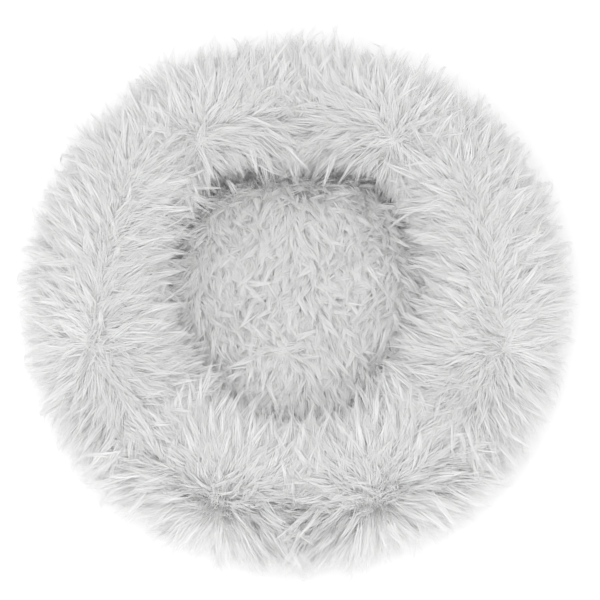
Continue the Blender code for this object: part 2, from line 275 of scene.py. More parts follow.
def build_rib_group() -> bpy.types.NodeTree:
    """Ribs of a tape that runs round the bed, counted by the angle about its middle.

    Returns:
        The group, which gives the ribs' height.
    """
    tree, nodes, source, sink = begin_group(
        "Ribs",
        (Socket("Vector", "Vector"), Socket("Ribs per turn", "Float", 900.0)),
        (Socket("Height", "Float"),),
    )
    parts = nodes.add("SeparateXYZ")
    nodes.feed(parts.inputs[0], source.outputs["Vector"])
    angle = nodes.maths("ARCTAN2", parts.outputs["Y"], parts.outputs["X"])
    phase = nodes.maths("MULTIPLY", angle, source.outputs["Ribs per turn"])
    wave = nodes.maths("ABSOLUTE", nodes.maths("SINE", phase))
    nodes.feed(sink.inputs["Height"], wave)
    return tree


def build_mottle_group() -> bpy.types.NodeTree:
    """Soft unevenness of a surface: broad cloudy patches and a fine grain.

    Returns:
        The group, which gives a value round 1 and the grain's height.
    """
    tree, nodes, source, sink = begin_group(
        "Mottle",
        (
            Socket("Vector", "Vector"),
            Socket("Patch scale", "Float", 20.0),
            Socket("Grain scale", "Float", 900.0),
            Socket("Strength", "Float", 0.1),
        ),
        (Socket("Value", "Float"), Socket("Height", "Float")),
    )
    patch = nodes.noise(source.outputs["Vector"], source.outputs["Patch scale"])
    grain = nodes.noise(source.outputs["Vector"], source.outputs["Grain scale"], 2.0)
    both = nodes.maths("ADD", patch, grain)
    shift = nodes.maths("SUBTRACT", both, 1.0)
    value = nodes.maths("MULTIPLY_ADD", shift, source.outputs["Strength"], 1.0)
    nodes.feed(sink.inputs["Value"], value)
    nodes.feed(sink.inputs["Height"], grain)
    return tree


def build_wear_group() -> bpy.types.NodeTree:
    """Wear where edges stand out, broken up by noise.

    Returns:
        The group, which gives a mask that is 1 on a rubbed edge.
    """
    tree, nodes, source, sink = begin_group(
        "Edge wear",
        (Socket("Vector", "Vector"), Socket("Breakup scale", "Float", 600.0)),
        (Socket("Mask", "Float"),),
    )
    point = nodes.add("NewGeometry").outputs["Pointiness"]
    edge = nodes.add("MapRange")
    nodes.feed(edge.inputs["Value"], point)
    edge.inputs["From Min"].default_value = 0.52
    edge.inputs["From Max"].default_value = 0.62
    speck = nodes.noise(source.outputs["Vector"], source.outputs["Breakup scale"])
    nodes.feed(sink.inputs["Mask"], nodes.maths("MULTIPLY", edge.outputs[0], speck))
    return tree


class Groups:
    """The shared shader groups, each built once."""

    def __init__(self) -> None:
        """Build them all."""
        self.pile = build_pile_group()
        self.weave = build_weave_group()
        self.ribs = build_rib_group()
        self.mottle = build_mottle_group()
        self.wear = build_wear_group()


# ------------------------------------------------------------------ finishes


def opaque(colour: Colour) -> tuple[float, float, float, float]:
    """A colour with full alpha."""
    return (*colour, 1.0)


def darker(colour: Colour, share: float) -> Colour:
    """A colour multiplied by a share."""
    return tuple(part * share for part in colour)


class Dresser:
    """One material in the making: its Principled shader and a helper for its nodes."""

    def __init__(self, name: str, roughness: float, metallic: float = 0.0) -> None:
        """Start a material.

        Args:
            name: The material's name.
            roughness: The shader's plain roughness.
            metallic: 1 for a metal.
        """
        self.material = bpy.data.materials.new(name)
        self.material.use_nodes = True
        self.nodes = Nodes(self.material.node_tree)
        self.shader = self.material.node_tree.nodes["Principled BSDF"]
        self.put(Roughness=roughness, Metallic=metallic)

    def group(self, tree: bpy.types.NodeTree, **values: object) -> bpy.types.Node:
        """Place a shared group.

        Args:
            tree: The group.
            values: Inputs by name, with _ for a space.

        Returns:
            The group node.
        """
        node = self.nodes.add("Group", node_tree=tree)
        if "Vector" in node.inputs:
            self.nodes.feed(node.inputs["Vector"], self.nodes.place())
        for name, value in values.items():
            self.nodes.feed(node.inputs[name.replace("_", " ")], value)
        return node

    def put(self, **values: object) -> None:
        """Set plain values of the shader.

        Args:
            values: Inputs by name, with _ for a space.
        """
        for name, value in values.items():
            self.shader.inputs[name.replace("_", " ")].default_value = value

    def colour(self, source: object) -> None:
        """Set or link the base colour."""
        self.nodes.feed(self.shader.inputs["Base Color"], source)

    def bump(self, height: object, distance: float, strength: float = 1.0) -> None:
        """Raise the surface by a height map.

        Args:
            height: The map's socket.
            distance: The full height in metres.
            strength: Blender's bump strength.
        """
        node = self.nodes.add("Bump")
        node.inputs["Strength"].default_value = strength
        node.inputs["Distance"].default_value = distance
        self.nodes.feed(node.inputs["Height"], height)
        self.nodes.feed(self.shader.inputs["Normal"], node.outputs[0])


@dataclass(frozen=True)
class FurFinish:
    """Matt acrylic pile whose colour runs from root to tip; the roots are painted paler than the
    tips, painted light that lifts the shade deep in the pile.
    """

    name: str
    root: Colour
    tip: Colour
    contrast: float = 0.16
    sheen: float = 0.25

    def make(self, groups: Groups) -> bpy.types.Material:
        """The material, which reads each fibre's place and tone from its mesh.

        Args:
            groups: The shared shader groups.

        Returns:
            The material.
        """
        dress = Dresser(self.name, 0.85)
        fibre = dress.nodes.add("Attribute", attribute_name=FIBRE_ATTRIBUTE)
        parts = dress.nodes.add("SeparateXYZ")
        dress.nodes.feed(parts.inputs[0], fibre.outputs["Vector"])
        tone = dress.group(
            groups.pile,
            Root=opaque(self.root),
            Tip=opaque(self.tip),
            Along=parts.outputs["X"],
            Tone=parts.outputs["Y"],
            Contrast=self.contrast,
        )
        dress.colour(tone.outputs["Color"])
        dress.put(Sheen_Weight=self.sheen, Sheen_Roughness=0.6, Specular_IOR_Level=0.25)
        return dress.material


@dataclass(frozen=True)
class ClothFinish:
    """Woven or knitted cloth in one colour."""

    name: str
    colour: Colour
    yarns: float = 900.0
    relief: float = 0.0002
    roughness: float = 0.85
    gap_shade_share: float = 0.55

    def make(self, groups: Groups) -> bpy.types.Material:
        """The material, with painted shade between its yarns, where the weave dips.

        Args:
            groups: The shared shader groups.

        Returns:
            The material.
        """
        dress = Dresser(self.name, self.roughness)
        weave = dress.group(groups.weave, Yarns_per_metre=self.yarns)
        mottle = dress.group(groups.mottle, Strength=0.12)
        # Painted shade: the colour is darkened where the yarns dip, standing in for the shade
        # between them.
        gap_shade = opaque(darker(self.colour, self.gap_shade_share))
        shade = dress.nodes.mix(weave.outputs["Top"], gap_shade, opaque(self.colour))
        dress.colour(dress.nodes.scaled(shade, mottle.outputs["Value"]))
        dress.bump(weave.outputs["Height"], self.relief)
        dress.put(Sheen_Weight=0.15)
        return dress.material


@dataclass(frozen=True)
class TapeFinish:
    """Ribbed tape that runs round the bed."""

    name: str
    colour: Colour
    ribs: float = 1100.0
    relief: float = 0.0002

    def make(self, groups: Groups) -> bpy.types.Material:
        """The material, with painted shade between its ribs.

        Args:
            groups: The shared shader groups.

        Returns:
            The material.
        """
        dress = Dresser(self.name, 0.8)
        ribs = dress.group(groups.ribs, Ribs_per_turn=self.ribs)
        # Painted shade: the colour is darkened between the ribs, standing in for the shade in the
        # hollows.
        gap_shade = opaque(darker(self.colour, 0.6))
        dress.colour(dress.nodes.mix(ribs.outputs["Height"], gap_shade, opaque(self.colour)))
        dress.bump(ribs.outputs["Height"], self.relief)
        return dress.material


@dataclass(frozen=True)
class FibreFinish:
    """Non-woven cloth, loose fibre, satin or sewing thread: a cloudy tone and a fine grain."""

    name: str
    colour: Colour
    roughness: float = 0.9
    strength: float = 0.2
    grain: float = 700.0
    relief: float = 0.0003

    def make(self, groups: Groups) -> bpy.types.Material:
        """The material in one cloudy tone.

        Args:
            groups: The shared shader groups.

        Returns:
            The material.
        """
        dress = Dresser(self.name, self.roughness)
        mottle = dress.group(groups.mottle, Grain_scale=self.grain, Strength=self.strength)
        dress.colour(dress.nodes.scaled(self.colour, mottle.outputs["Value"]))
        dress.bump(mottle.outputs["Height"], self.relief, 0.5)
        return dress.material


@dataclass(frozen=True)
class MetalFinish:
    """Nickel plating, duller in its hollows and bright where it is rubbed."""

    name: str
    colour: Colour
    worn: Colour
    roughness: float = 0.28

    def make(self, groups: Groups) -> bpy.types.Material:
        """The material, brighter where it is rubbed.

        Args:
            groups: The shared shader groups.

        Returns:
            The material.
        """
        dress = Dresser(self.name, self.roughness, 1.0)
        wear = dress.group(groups.wear)
        mottle = dress.group(groups.mottle, Patch_scale=200.0, Grain_scale=2500.0)
        dress.colour(
            dress.nodes.mix(wear.outputs["Mask"], opaque(self.colour), opaque(self.worn))
        )
        rough = dress.nodes.maths("MULTIPLY", mottle.outputs["Value"], self.roughness)
        dress.nodes.feed(dress.shader.inputs["Roughness"], rough)
        dress.bump(mottle.outputs["Height"], 0.00002)
        return dress.material


@dataclass(frozen=True)
class PlasticFinish:
    """Nylon or soft vinyl with a faint grain and paler rubbed edges."""

    name: str
    colour: Colour
    roughness: float = 0.42

    def make(self, groups: Groups) -> bpy.types.Material:
        """The material, paler where it is rubbed.

        Args:
            groups: The shared shader groups.

        Returns:
            The material.
        """
        dress = Dresser(self.name, self.roughness)
        wear = dress.group(groups.wear, Breakup_scale=900.0)
        pale = opaque(tuple(min(1.0, part * 1.2) for part in self.colour))
        dress.colour(dress.nodes.mix(wear.outputs["Mask"], opaque(self.colour), pale))
        mottle = dress.group(groups.mottle, Grain_scale=3000.0)
        dress.bump(mottle.outputs["Height"], 0.00003)
        return dress.material


class Wardrobe:
    """Every finish of the bed, made once."""

    def __init__(self) -> None:
        """Make the materials."""
        groups = Groups()
        # Painted light: each fur's roots are painted paler than its tips, to lift the shade that
        # falls deep in the pile.
        self.bolster_fur = FurFinish(
            "bolster fur", (0.97, 0.97, 0.968), (0.90, 0.90, 0.898), 0.05
        ).make(groups)
        # Painted light: the pad's fur is painted paler than the ring's, to lift the shade that
        # falls on the pad down in the well.
        self.pad_fur = FurFinish(
            "pad fur", (0.985, 0.984, 0.982), (0.96, 0.959, 0.957), 0.05
        ).make(groups)
        self.backing = ClothFinish(
            "knitted fur backing", (0.9, 0.9, 0.897), 700.0, gap_shade_share=0.85
        ).make(groups)
        self.base = ClothFinish("base cloth", (0.30, 0.30, 0.31), 850.0, 0.0003).make(groups)
        self.tape = TapeFinish("binding tape", (0.52, 0.515, 0.51)).make(groups)
        self.zip_tape = TapeFinish("zip tape", (0.56, 0.555, 0.55), 1500.0, 0.0001).make(groups)
        self.liner = FibreFinish("non-woven liner", (0.74, 0.74, 0.72), grain=1500.0).make(groups)
        self.filling = FibreFinish("fibre filling", (0.85, 0.85, 0.84), grain=350.0).make(groups)
        self.label = FibreFinish("satin label", (0.86, 0.86, 0.85), 0.35, 0.05).make(groups)
        self.thread = FibreFinish("sewing thread", (0.66, 0.65, 0.64), 0.6, 0.1, 4000.0).make(
            groups
        )
        self.nylon = PlasticFinish("nylon coil", (0.58, 0.575, 0.57)).make(groups)
        self.vinyl = PlasticFinish("vinyl grip dots", (0.16, 0.16, 0.165), 0.5).make(groups)
        self.metal = MetalFinish("nickel", (0.62, 0.61, 0.59), (0.86, 0.85, 0.83)).make(groups)


# ------------------------------------------------------------------ meshes


FIBRE_ATTRIBUTE = "fibre"
BAKE_MAP = "OFBake"


def link(name: str, data: bpy.types.ID) -> bpy.types.Object:
    """A new object in the scene.

    Args:
        name: The object's name.
        data: Its mesh, lamp or camera.

    Returns:
        The object.
    """
    made = bpy.data.objects.new(name, data)
    bpy.context.scene.collection.objects.link(made)
    return made


def make_object(
    name: str,
    points: np.ndarray,
    faces: Sequence[np.ndarray],
    material: bpy.types.Material | None,
    smooth: bool = True,
) -> bpy.types.Object:
    """A mesh object from arrays.

    Args:
        name: The piece's name.
        points: Corners, one row each.
        faces: Arrays of corner numbers, each with one face a row.
        material: The piece's finish, or None for a test piece.
        smooth: True to shade it smooth.

    Returns:
        The linked object.
    """
    mesh = bpy.data.meshes.new(name)
    mesh.vertices.add(len(points))
    mesh.vertices.foreach_set("co", np.ascontiguousarray(points, dtype=np.float32).ravel())
    corners = np.concatenate([block.ravel() for block in faces]).astype(np.int32)
    sizes = np.concatenate([np.full(len(block), block.shape[1]) for block in faces])
    starts = np.concatenate([[0], np.cumsum(sizes)[:-1]]).astype(np.int32)
    mesh.loops.add(len(corners))
    mesh.loops.foreach_set("vertex_index", corners)
    mesh.polygons.add(len(sizes))
    mesh.polygons.foreach_set("loop_start", starts)
    mesh.polygons.foreach_set("use_smooth", np.full(len(sizes), smooth))
    mesh.update(calc_edges=True)
    mesh.validate()
    mesh.materials.append(material)
    return link(name, mesh)


def settle(piece: bpy.types.Object, slot: Slot, *nodes: str, body: str = BODY) -> None:
    """Tell the frame what a piece rides on and the CAD nodes it stands for.

    Args:
        piece: The finished piece.
        slot: Not used.
        nodes: CAD nodes that it replaces.
        body: The body it rides on.
    """
    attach(piece, body)
    if nodes:
        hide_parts(*nodes)
    LOG.info("%s: %d faces, on %s", piece.name, len(piece.data.polygons), body)


def unit(vectors: np.ndarray) -> np.ndarray:
    """Vectors scaled to length 1."""
    size = np.linalg.norm(vectors, axis=-1, keepdims=True)
    return vectors / np.maximum(size, 1e-12)


def tufts(points: np.ndarray, fineness: float = 1.0) -> np.ndarray:
    """Smooth unevenness from about -1 to 1.

    Args:
        points: Where to read it.
        fineness: 1 for tufts a few centimetres wide, and more for finer ones.

    Returns:
        One value for each point.
    """
    waves = (
        ((170, 60, 110), 0.3),
        ((-95, 185, 70), 1.9),
        ((60, -130, 190), 4.1),
        ((260, 210, -120), 2.6),
        ((-240, 250, 160), 5.2),
    )
    total = sum(
        np.sin(fineness * (points @ np.array(step, float)) + start) for step, start in waves
    )
    return total / len(waves) * 1.6


def smooth_step(value: np.ndarray, low: float, high: float) -> np.ndarray:
    """0 below low, 1 above high, and a soft rise between them.

    Args:
        value: The values to read.
        low: Where the rise begins.
        high: Where it ends.

    Returns:
        A share from 0 to 1 for each value.
    """
    share = np.clip((value - low) / (high - low), 0.0, 1.0)
    return share * share * (3.0 - 2.0 * share)


def grid_faces(around: int, along: int, closed: bool = True) -> np.ndarray:
    """Quads of a grid of points, numbered row by row.

    Args:
        around: Points round the bed.
        along: Points across the surface.
        closed: True if the last column joins the first.

    Returns:
        Corner numbers, one quad a row.
    """
    columns = np.arange(around if closed else around - 1)
    rows = np.arange(along - 1)
    first, second = np.meshgrid(columns, rows, indexing="ij")
    ahead = (first + 1) % around
    a = first * along + second
    b = ahead * along + second
    return np.stack([a, b, b + 1, a + 1], axis=-1).reshape(-1, 4)


def by_angle(turn: np.ndarray, degrees: Sequence[float], shifts: Sequence[float]) -> np.ndarray:
    """A shift that changes round the bed and is the same on its left and right.

    Args:
        turn: Angles from +X.
        degrees: Angles above +X, from -90 at the front to 90 at the back.
        shifts: The shift at each of them, in millimetres.

    Returns:
        The shift in metres at each angle.
    """
    above = np.degrees(np.arcsin(np.clip(np.sin(turn), -1, 1)))
    return 0.001 * np.interp(above, degrees, shifts)


def well_shift(turn: np.ndarray) -> np.ndarray:
    """How far the well's wall stands outside a plain circle.

    Args:
        turn: Angles from +X.

    Returns:
        The shift in metres: the well is wide at its two back corners and narrow in front.
    """
    degrees = (-90, -72, -46, -32, 4, 30, 45, 57, 68, 80, 90)
    return by_angle(turn, degrees, (6.0, 1.0, -12.0, -16.0, -4.0, 2.0, 11.0, 15.0, 12.0, 3.0, 1.0))


def rim_shift(turn: np.ndarray) -> np.ndarray:
    """How far the ring's outside stands beyond a plain circle.

    Args:
        turn: Angles from +X.

    Returns:
        The shift in metres: the soft bed is a little squarer than a circle.
    """
    degrees = (-90, -75, -60, -40, -15, 0, 15, 30, 45, 60, 75, 90)
    return by_angle(turn, degrees, (-2, -4, -2, 2, 1, 0, 2.5, 5, 4, 0, -5, -7))


class Skin:
    """A cloth surface round the bed, as a grid: first round the bed, then across the cloth.

    The cloth runs from the ring's lower outer edge over its crest to the inner edge, or from
    the pad's edge to its middle, so that its outward side is the same all over.
    """

    def __init__(self, points: np.ndarray) -> None:
        """Keep the grid's points."""
        self.points = points

    @property
    def shape(self) -> tuple[int, int]:
        """Points round the bed and across the cloth."""
        return self.points.shape[0], self.points.shape[1]

    def normals(self) -> np.ndarray:
        """Outward direction at each grid point."""
        around = np.roll(self.points, -1, axis=0) - np.roll(self.points, 1, axis=0)
        across = np.gradient(self.points, axis=1)
        return unit(np.cross(around, across))

    def read(self, grid: np.ndarray, turn: np.ndarray, across: np.ndarray) -> np.ndarray:
        """Values of a grid between its points.

        Args:
            grid: Values on the skin's grid.
            turn: Places round the bed, from 0 to 1.
            across: Places across the cloth, from 0 to 1.

        Returns:
            One row for each place.
        """
        around, along = self.shape
        u = (turn % 1.0) * around
        v = np.clip(across, 0.0, 1.0) * (along - 1)
        i = np.floor(u).astype(int) % around
        j = np.minimum(np.floor(v).astype(int), along - 2)
        fu = (u - np.floor(u))[:, None]
        fv = (v - j)[:, None]
        ahead = (i + 1) % around
        near = grid[i, j] * (1 - fu) + grid[ahead, j] * fu
        far = grid[i, j + 1] * (1 - fu) + grid[ahead, j + 1] * fu
        return near * (1 - fv) + far * fv

    def shell(
        self, name: str, thickness: float, material: bpy.types.Material
    ) -> bpy.types.Object:
        """The cloth itself, as a closed sheet of a given thickness.

        Args:
            name: The piece's name.
            thickness: How far its inner side lies below its outer side.
            material: Its finish.

        Returns:
            The object.
        """
        around, along = self.shape
        outer = self.points.reshape(-1, 3)
        inner = (self.points - self.normals() * thickness).reshape(-1, 3)
        front = grid_faces(around, along)
        back = front[:, ::-1] + len(outer)
        turn = np.arange(around)
        ahead = (turn + 1) % around
        rims = []
        for row, flip in ((0, False), (along - 1, True)):
            a, b = turn * along + row, ahead * along + row
            rim = np.stack([a, a + len(outer), b + len(outer), b], axis=-1)
            rims.append(rim[:, ::-1] if flip else rim)
        faces = [front, back, *rims]
        return make_object(name, np.vstack([outer, inner]), faces, material)


@dataclass
class ClothTest:
    """Cloth simulation of a filled cover, held at its seams and pressed out by its filling."""

    pressure: float = 4.0
    frames: int = 20
    most: float = 0.009
    stiffness: float = 25.0

    def inflate(self, skin: Skin, held: np.ndarray) -> Skin:
        """Press a skin out from inside.

        Args:
            skin: The cut shape of the cloth.
            held: A mask of the grid's points that are sewn down.

        Returns:
            The skin after it has settled.
        """
        around, along = skin.shape
        flat = skin.points.reshape(-1, 3)
        cloth = make_object("cloth_test", flat, [grid_faces(around, along)], None)
        group = cloth.vertex_groups.new(name="held")
        group.add([int(i) for i in np.nonzero(held.ravel())[0]], 1.0, "REPLACE")
        modifier = cloth.modifiers.new("cloth", "CLOTH")
        settings = modifier.settings
        settings.quality = 6
        settings.mass = 0.3
        settings.tension_stiffness = self.stiffness
        settings.compression_stiffness = self.stiffness
        settings.shear_stiffness = self.stiffness / 3
        settings.bending_stiffness = 1.5
        settings.use_pressure = True
        settings.uniform_pressure_force = self.pressure
        settings.vertex_group_mass = "held"
        settings.effector_weights.gravity = 0.0
        modifier.point_cache.frame_start = 1
        modifier.point_cache.frame_end = self.frames
        scene = bpy.context.scene
        for number in range(1, self.frames + 1):
            scene.frame_set(number)
        settled = cloth.evaluated_get(bpy.context.evaluated_depsgraph_get())
        moved = np.empty(len(flat) * 3, dtype=np.float32)
        settled.data.vertices.foreach_get("co", moved)
        scene.frame_set(1)
        shift = moved.reshape(-1, 3) - flat
        size = np.linalg.norm(shift, axis=1, keepdims=True)
        shift *= np.minimum(1.0, self.most / np.maximum(size, 1e-9))
        bpy.data.objects.remove(cloth, do_unlink=True)
        LOG.info("cloth settled: most moved %.1f mm", 1000 * float(size.max()))
        return Skin((flat + shift).reshape(around, along, 3))


# ------------------------------------------------------------------ fur


@dataclass
class Locks:
    """The roots of the fur's locks: where they stand and which way their hair leans."""

    root: np.ndarray
    normal: np.ndarray
    flow: np.ndarray
    lean: np.ndarray
    length: np.ndarray
    gather: np.ndarray
    tone: np.ndarray


@dataclass(frozen=True)
class Limits:
    """How far fibres may reach. Each limit is neared softly and never passed."""

    radius: float = 0.3115
    radius_from: float = 0.303
    top: float = 0.1935
    top_from: float = 0.178
    floor: float = 0.003
    zip_floor: float = 0.0515
    zip_middle: float = math.pi / 2
    zip_half_span: float = math.radians(41.0)

    def hold(self, points: np.ndarray) -> np.ndarray:
        """Fibre points drawn back inside the limits.

        Args:
            points: Points in an array whose last axis is x, y, z.

        Returns:
            The points, moved where they came near a limit.
        """
        out = points.copy()
        radius = np.linalg.norm(out[..., :2], axis=-1)
        near = soft_limit(radius, self.radius_from, self.radius)
        out[..., :2] *= (near / np.maximum(radius, 1e-9))[..., None]
        out[..., 2] = soft_limit(out[..., 2], self.top_from, self.top)
        angle = np.arctan2(out[..., 1], out[..., 0]) - self.zip_middle
        angle = np.abs((angle + math.pi) % (2 * math.pi) - math.pi)
        inside = 1.0 - smooth_step(angle, self.zip_half_span, self.zip_half_span + 0.45)
        inside = inside * smooth_step(radius, 0.19, 0.23)
        floor = self.floor + (self.zip_floor - self.floor) * inside
        out[..., 2] = -soft_limit(-out[..., 2], -(floor + 0.016), -floor)
        return out


def soft_limit(value: np.ndarray, start: object, end: object) -> np.ndarray:
    """A value that bends over past a start and never passes an end.

    Args:
        value: The values to hold.
        start: Where they begin to bend.
        end: What they never pass.

    Returns:
        The held values.
    """
    room = np.maximum(end - start, 1e-9)
    past = np.maximum(value - start, 0.0)
    return np.where(value > start, start + room * np.tanh(past / room), value)


@dataclass
class Pile:
    """Long fibres in pointed locks, each fibre a thin tapering ribbon."""

    name: str
    spacing: float
    fibres: int
    length: float
    width: float
    spread: float
    gather: float
    curl: float
    seed: int
    pieces: int = 1
    lift: float = 0.45
    droop: float = 0.10
    stray: float = 0.0014
    swirl: float = 0.22
    wave: float = 0.0016
    lofted: float = 0.40
    wild: float = 0.13
    wild_length: float = 0.36
    wild_gather: float = 0.86
    wild_lean: float = math.radians(15.0)
    lean_spread: float = math.radians(6.0)
    length_range: tuple = (0.84, 1.12)
    tone_spread: float = 0.17
    root_depth: float = 0.001
    roll: float = 0.6
    stations: tuple = (0.0, 0.36, 0.72, 1.0)
    taper: tuple = (1.1, 1.1, 0.75, 0.0)
    tones: int = 48
    limits: Limits = field(default_factory=Limits)

    def plant(self, skin: Skin, lay: Callable) -> Locks:
        """Set the locks out over a skin in jittered rows.

        Args:
            skin: The cloth that they grow from.
            lay: A function of root, normal and place across the cloth that gives the flow, the
                lean and the share of the full length.

        Returns:
            The locks.
        """
        rng = np.random.default_rng(self.seed)
        around, along = skin.shape
        steps = np.linalg.norm(np.diff(skin.points, axis=1), axis=2).mean(axis=0)
        run = np.concatenate([[0.0], np.cumsum(steps)])
        turns, places = [], []
        rows = max(2, int(run[-1] / self.spacing))
        for row in range(rows):
            across = np.interp((row + 0.5) / rows * run[-1], run, np.linspace(0, 1, along))
            ring = skin.points[:, int(across * (along - 1))]
            girth = 2 * math.pi * np.linalg.norm(ring[:, :2], axis=1).mean()
            count = max(1, round(girth / self.spacing))
            turn = (np.arange(count) + 0.5 * (row % 2)) / count
            turns.append(turn + rng.uniform(-0.4, 0.4, count) / count)
            places.append(across + rng.uniform(-0.4, 0.4, count) / rows)
        turn, across = np.concatenate(turns), np.clip(np.concatenate(places), 0.0, 1.0)
        root = skin.read(skin.points, turn, across)
        normal = unit(skin.read(skin.normals(), turn, across))
        flow, lean, share = lay(root, normal, across)
        flow = unit(flow - normal * np.sum(flow * normal, axis=1, keepdims=True))
        count = len(root)
        swirl = rng.normal(0.0, self.swirl, count)[:, None]
        side = np.cross(normal, flow)
        flow = unit(flow * np.cos(swirl) + side * np.sin(swirl))
        loose = rng.random(count) < self.wild
        return Locks(
            root=root,
            normal=normal,
            flow=flow,
            lean=lean + rng.normal(0.0, self.lean_spread, count) - self.wild_lean * loose,
            length=self.length
            * share
            * rng.uniform(*self.length_range, count)
            * (1 + self.wild_length * loose),
            gather=np.where(loose, self.wild_gather, self.gather),
            tone=np.clip(rng.normal(0.5, self.tone_spread, count), 0.0, 1.0),
        )

    def grow(self, locks: Locks) -> tuple[np.ndarray, np.ndarray, np.ndarray, np.ndarray]:
        """Fibres of every lock.

        Args:
            locks: Where the locks stand.

        Returns:
            The fibres' ribbon corners, tones and facing directions, and the lock of each.
        """
        rng = np.random.default_rng(self.seed + 1)
        owner = np.repeat(np.arange(len(locks.root)), self.fibres)
        count = len(owner)
        normal, flow = locks.normal[owner], locks.flow[owner]
        side = np.cross(normal, flow)
        angle = rng.uniform(0.0, 2 * math.pi, count)
        reach = self.spread * np.sqrt(rng.uniform(0.0, 1.0, count))
        offset = flow * (reach * np.cos(angle))[:, None] + side * (reach * np.sin(angle))[:, None]
        start = locks.root[owner] + offset - normal * self.root_depth
        lean, length = locks.lean[owner][:, None], locks.length[owner][:, None]
        bend = rng.normal(0.0, self.curl, len(locks.root))[owner][:, None]
        aim = normal * np.cos(lean) + flow * np.sin(lean) + side * bend
        tip = locks.root[owner] + unit(aim) * length
        tip[:, 2] -= self.droop * length[:, 0]
        open_share = (1.0 - locks.gather)[owner][:, None]
        keep = open_share * rng.uniform(0.5, 1.5, (count, 1))
        stray = self.stray * np.minimum(1.0, 2.2 * open_share)
        tip = tip + offset * keep + rng.normal(0.0, 1.0, (count, 3)) * stray
        trim = np.where(rng.random((count, 1)) < 0.2, rng.uniform(0.5, 0.8, (count, 1)), 1.0)
        tip = start + (tip - start) * trim * rng.uniform(0.88, 1.06, (count, 1))
        rise = normal * np.cos(lean * self.lift) + flow * np.sin(lean * self.lift)
        middle = start + rise * length * 0.45
        s = np.array(self.stations)[None, :, None]
        line = (
            start[:, None] * (1 - s) ** 2 + middle[:, None] * 2 * s * (1 - s) + tip[:, None] * s**2
        )
        wave = rng.uniform(0.0, 2 * math.pi, (count, 1)) + np.array(self.stations) * 5.0
        sway = np.sin(wave) * np.array(self.stations) * (1 - np.array(self.stations) * 0.5)
        line += side[:, None] * (sway * self.wave)[..., None]
        line = self.limits.hold(line)
        run = unit(tip - start)
        across = unit(np.cross(run, normal))
        upward = np.cross(across, run)
        roll = rng.uniform(-self.roll, self.roll, count)[:, None]
        face = across * np.cos(roll) + upward * np.sin(roll)
        half = 0.5 * self.width * rng.uniform(0.75, 1.25, count)
        half = half[:, None, None] * np.array(self.taper)[None, :, None]
        left, right = line - face[:, None] * half, line + face[:, None] * half
        pairs = np.stack([left[:, :-1], right[:, :-1]], axis=2).reshape(count, -1, 3)
        corners = np.concatenate([pairs, line[:, -1:]], axis=1)
        tone = np.clip(locks.tone[owner] + rng.normal(0.0, 0.10, count), 0.0, 0.999)
        flat = np.cross(face, run)
        facing = unit(normal * self.lofted + flat * (1 - self.lofted) + offset / self.spread * 0.3)
        return corners, np.floor(tone * self.tones) / self.tones, facing, owner

    def build(self, locks: Locks, material: bpy.types.Material) -> list[bpy.types.Object]:
        """Meshes of all the fibres, shared out by angle round the bed.

        Args:
            locks: Where the locks stand.
            material: The fur's finish.

        Returns:
            One object for each share.
        """
        corners, tone, facing, owner = self.grow(locks)
        angle = np.arctan2(locks.root[:, 1], locks.root[:, 0]) / (2 * math.pi) + 0.5
        share = np.minimum((angle * self.pieces).astype(int), self.pieces - 1)[owner]
        made = []
        for number in range(self.pieces):
            chosen = share == number
            name = f"{self.name}_{number + 1:02d}" if self.pieces > 1 else self.name
            parts = (corners[chosen], tone[chosen], facing[chosen])
            made.append(self.ribbon_piece(name, *parts, material))
        return made

    def ribbon_piece(
        self,
        name: str,
        corners: np.ndarray,
        tone: np.ndarray,
        facing: np.ndarray,
        material: bpy.types.Material,
    ) -> bpy.types.Object:
        """One mesh of many ribbons, with each fibre's place and tone stored on it.

        Args:
            name: The piece's name.
            corners: Ribbon corners for each fibre.
            tone: Each fibre's tone.
            facing: The way each fibre takes the light.
            material: The fur's finish.

        Returns:
            The object.
        """
        count, each = corners.shape[0], corners.shape[1]
        first = (np.arange(count) * each)[:, None]
        quads = []
        for step in range(len(self.stations) - 2):
            a = 2 * step
            quads.append(first + np.array([a, a + 1, a + 3, a + 2]))
        last = first + np.array([each - 3, each - 2, each - 1])
        quad_rows = np.concatenate(quads)
        piece = make_object(name, corners.reshape(-1, 3), [quad_rows, last], material)
        mesh = piece.data
        along = np.repeat(np.array(self.stations[:-1]), 2)
        along = np.concatenate([along, [1.0]])
        fibre = np.zeros((count, each, 3), dtype=np.float32)
        fibre[:, :, 0] = along[None]
        fibre[:, :, 1] = tone[:, None]
        layer = mesh.attributes.new(FIBRE_ATTRIBUTE, "FLOAT_VECTOR", "POINT")
        layer.data.foreach_set("vector", fibre.ravel())
        self.lay_out(mesh, tone, along, each)
        mesh.normals_split_custom_set_from_vertices(np.repeat(facing, each, axis=0))
        return piece

    def lay_out(
        self, mesh: bpy.types.Mesh, tone: np.ndarray, along: np.ndarray, each: int
    ) -> None:
        """A texture map in which fibres of one tone share one narrow strip.

        Args:
            mesh: The fibres' mesh.
            tone: Each fibre's tone.
            along: Each ribbon corner's place from root to tip.
            each: Corners in one ribbon.
        """
        side = np.tile([0.2, 0.8], each // 2)
        side = np.concatenate([side, [0.5]])
        column = np.round(tone * self.tones)[:, None] + side[None]
        u = column / self.tones
        v = np.broadcast_to(0.05 + 0.9 * along[None], u.shape)
        spots = np.stack([u, v], axis=-1).reshape(-1, 2)
        corner = np.empty(len(mesh.loops), dtype=np.int32)
        mesh.loops.foreach_get("vertex_index", corner)
        layer = mesh.uv_layers.new(name=BAKE_MAP)
        layer.data.foreach_set("uv", spots[corner].astype(np.float32).ravel())


# ------------------------------------------------------------------ the ring


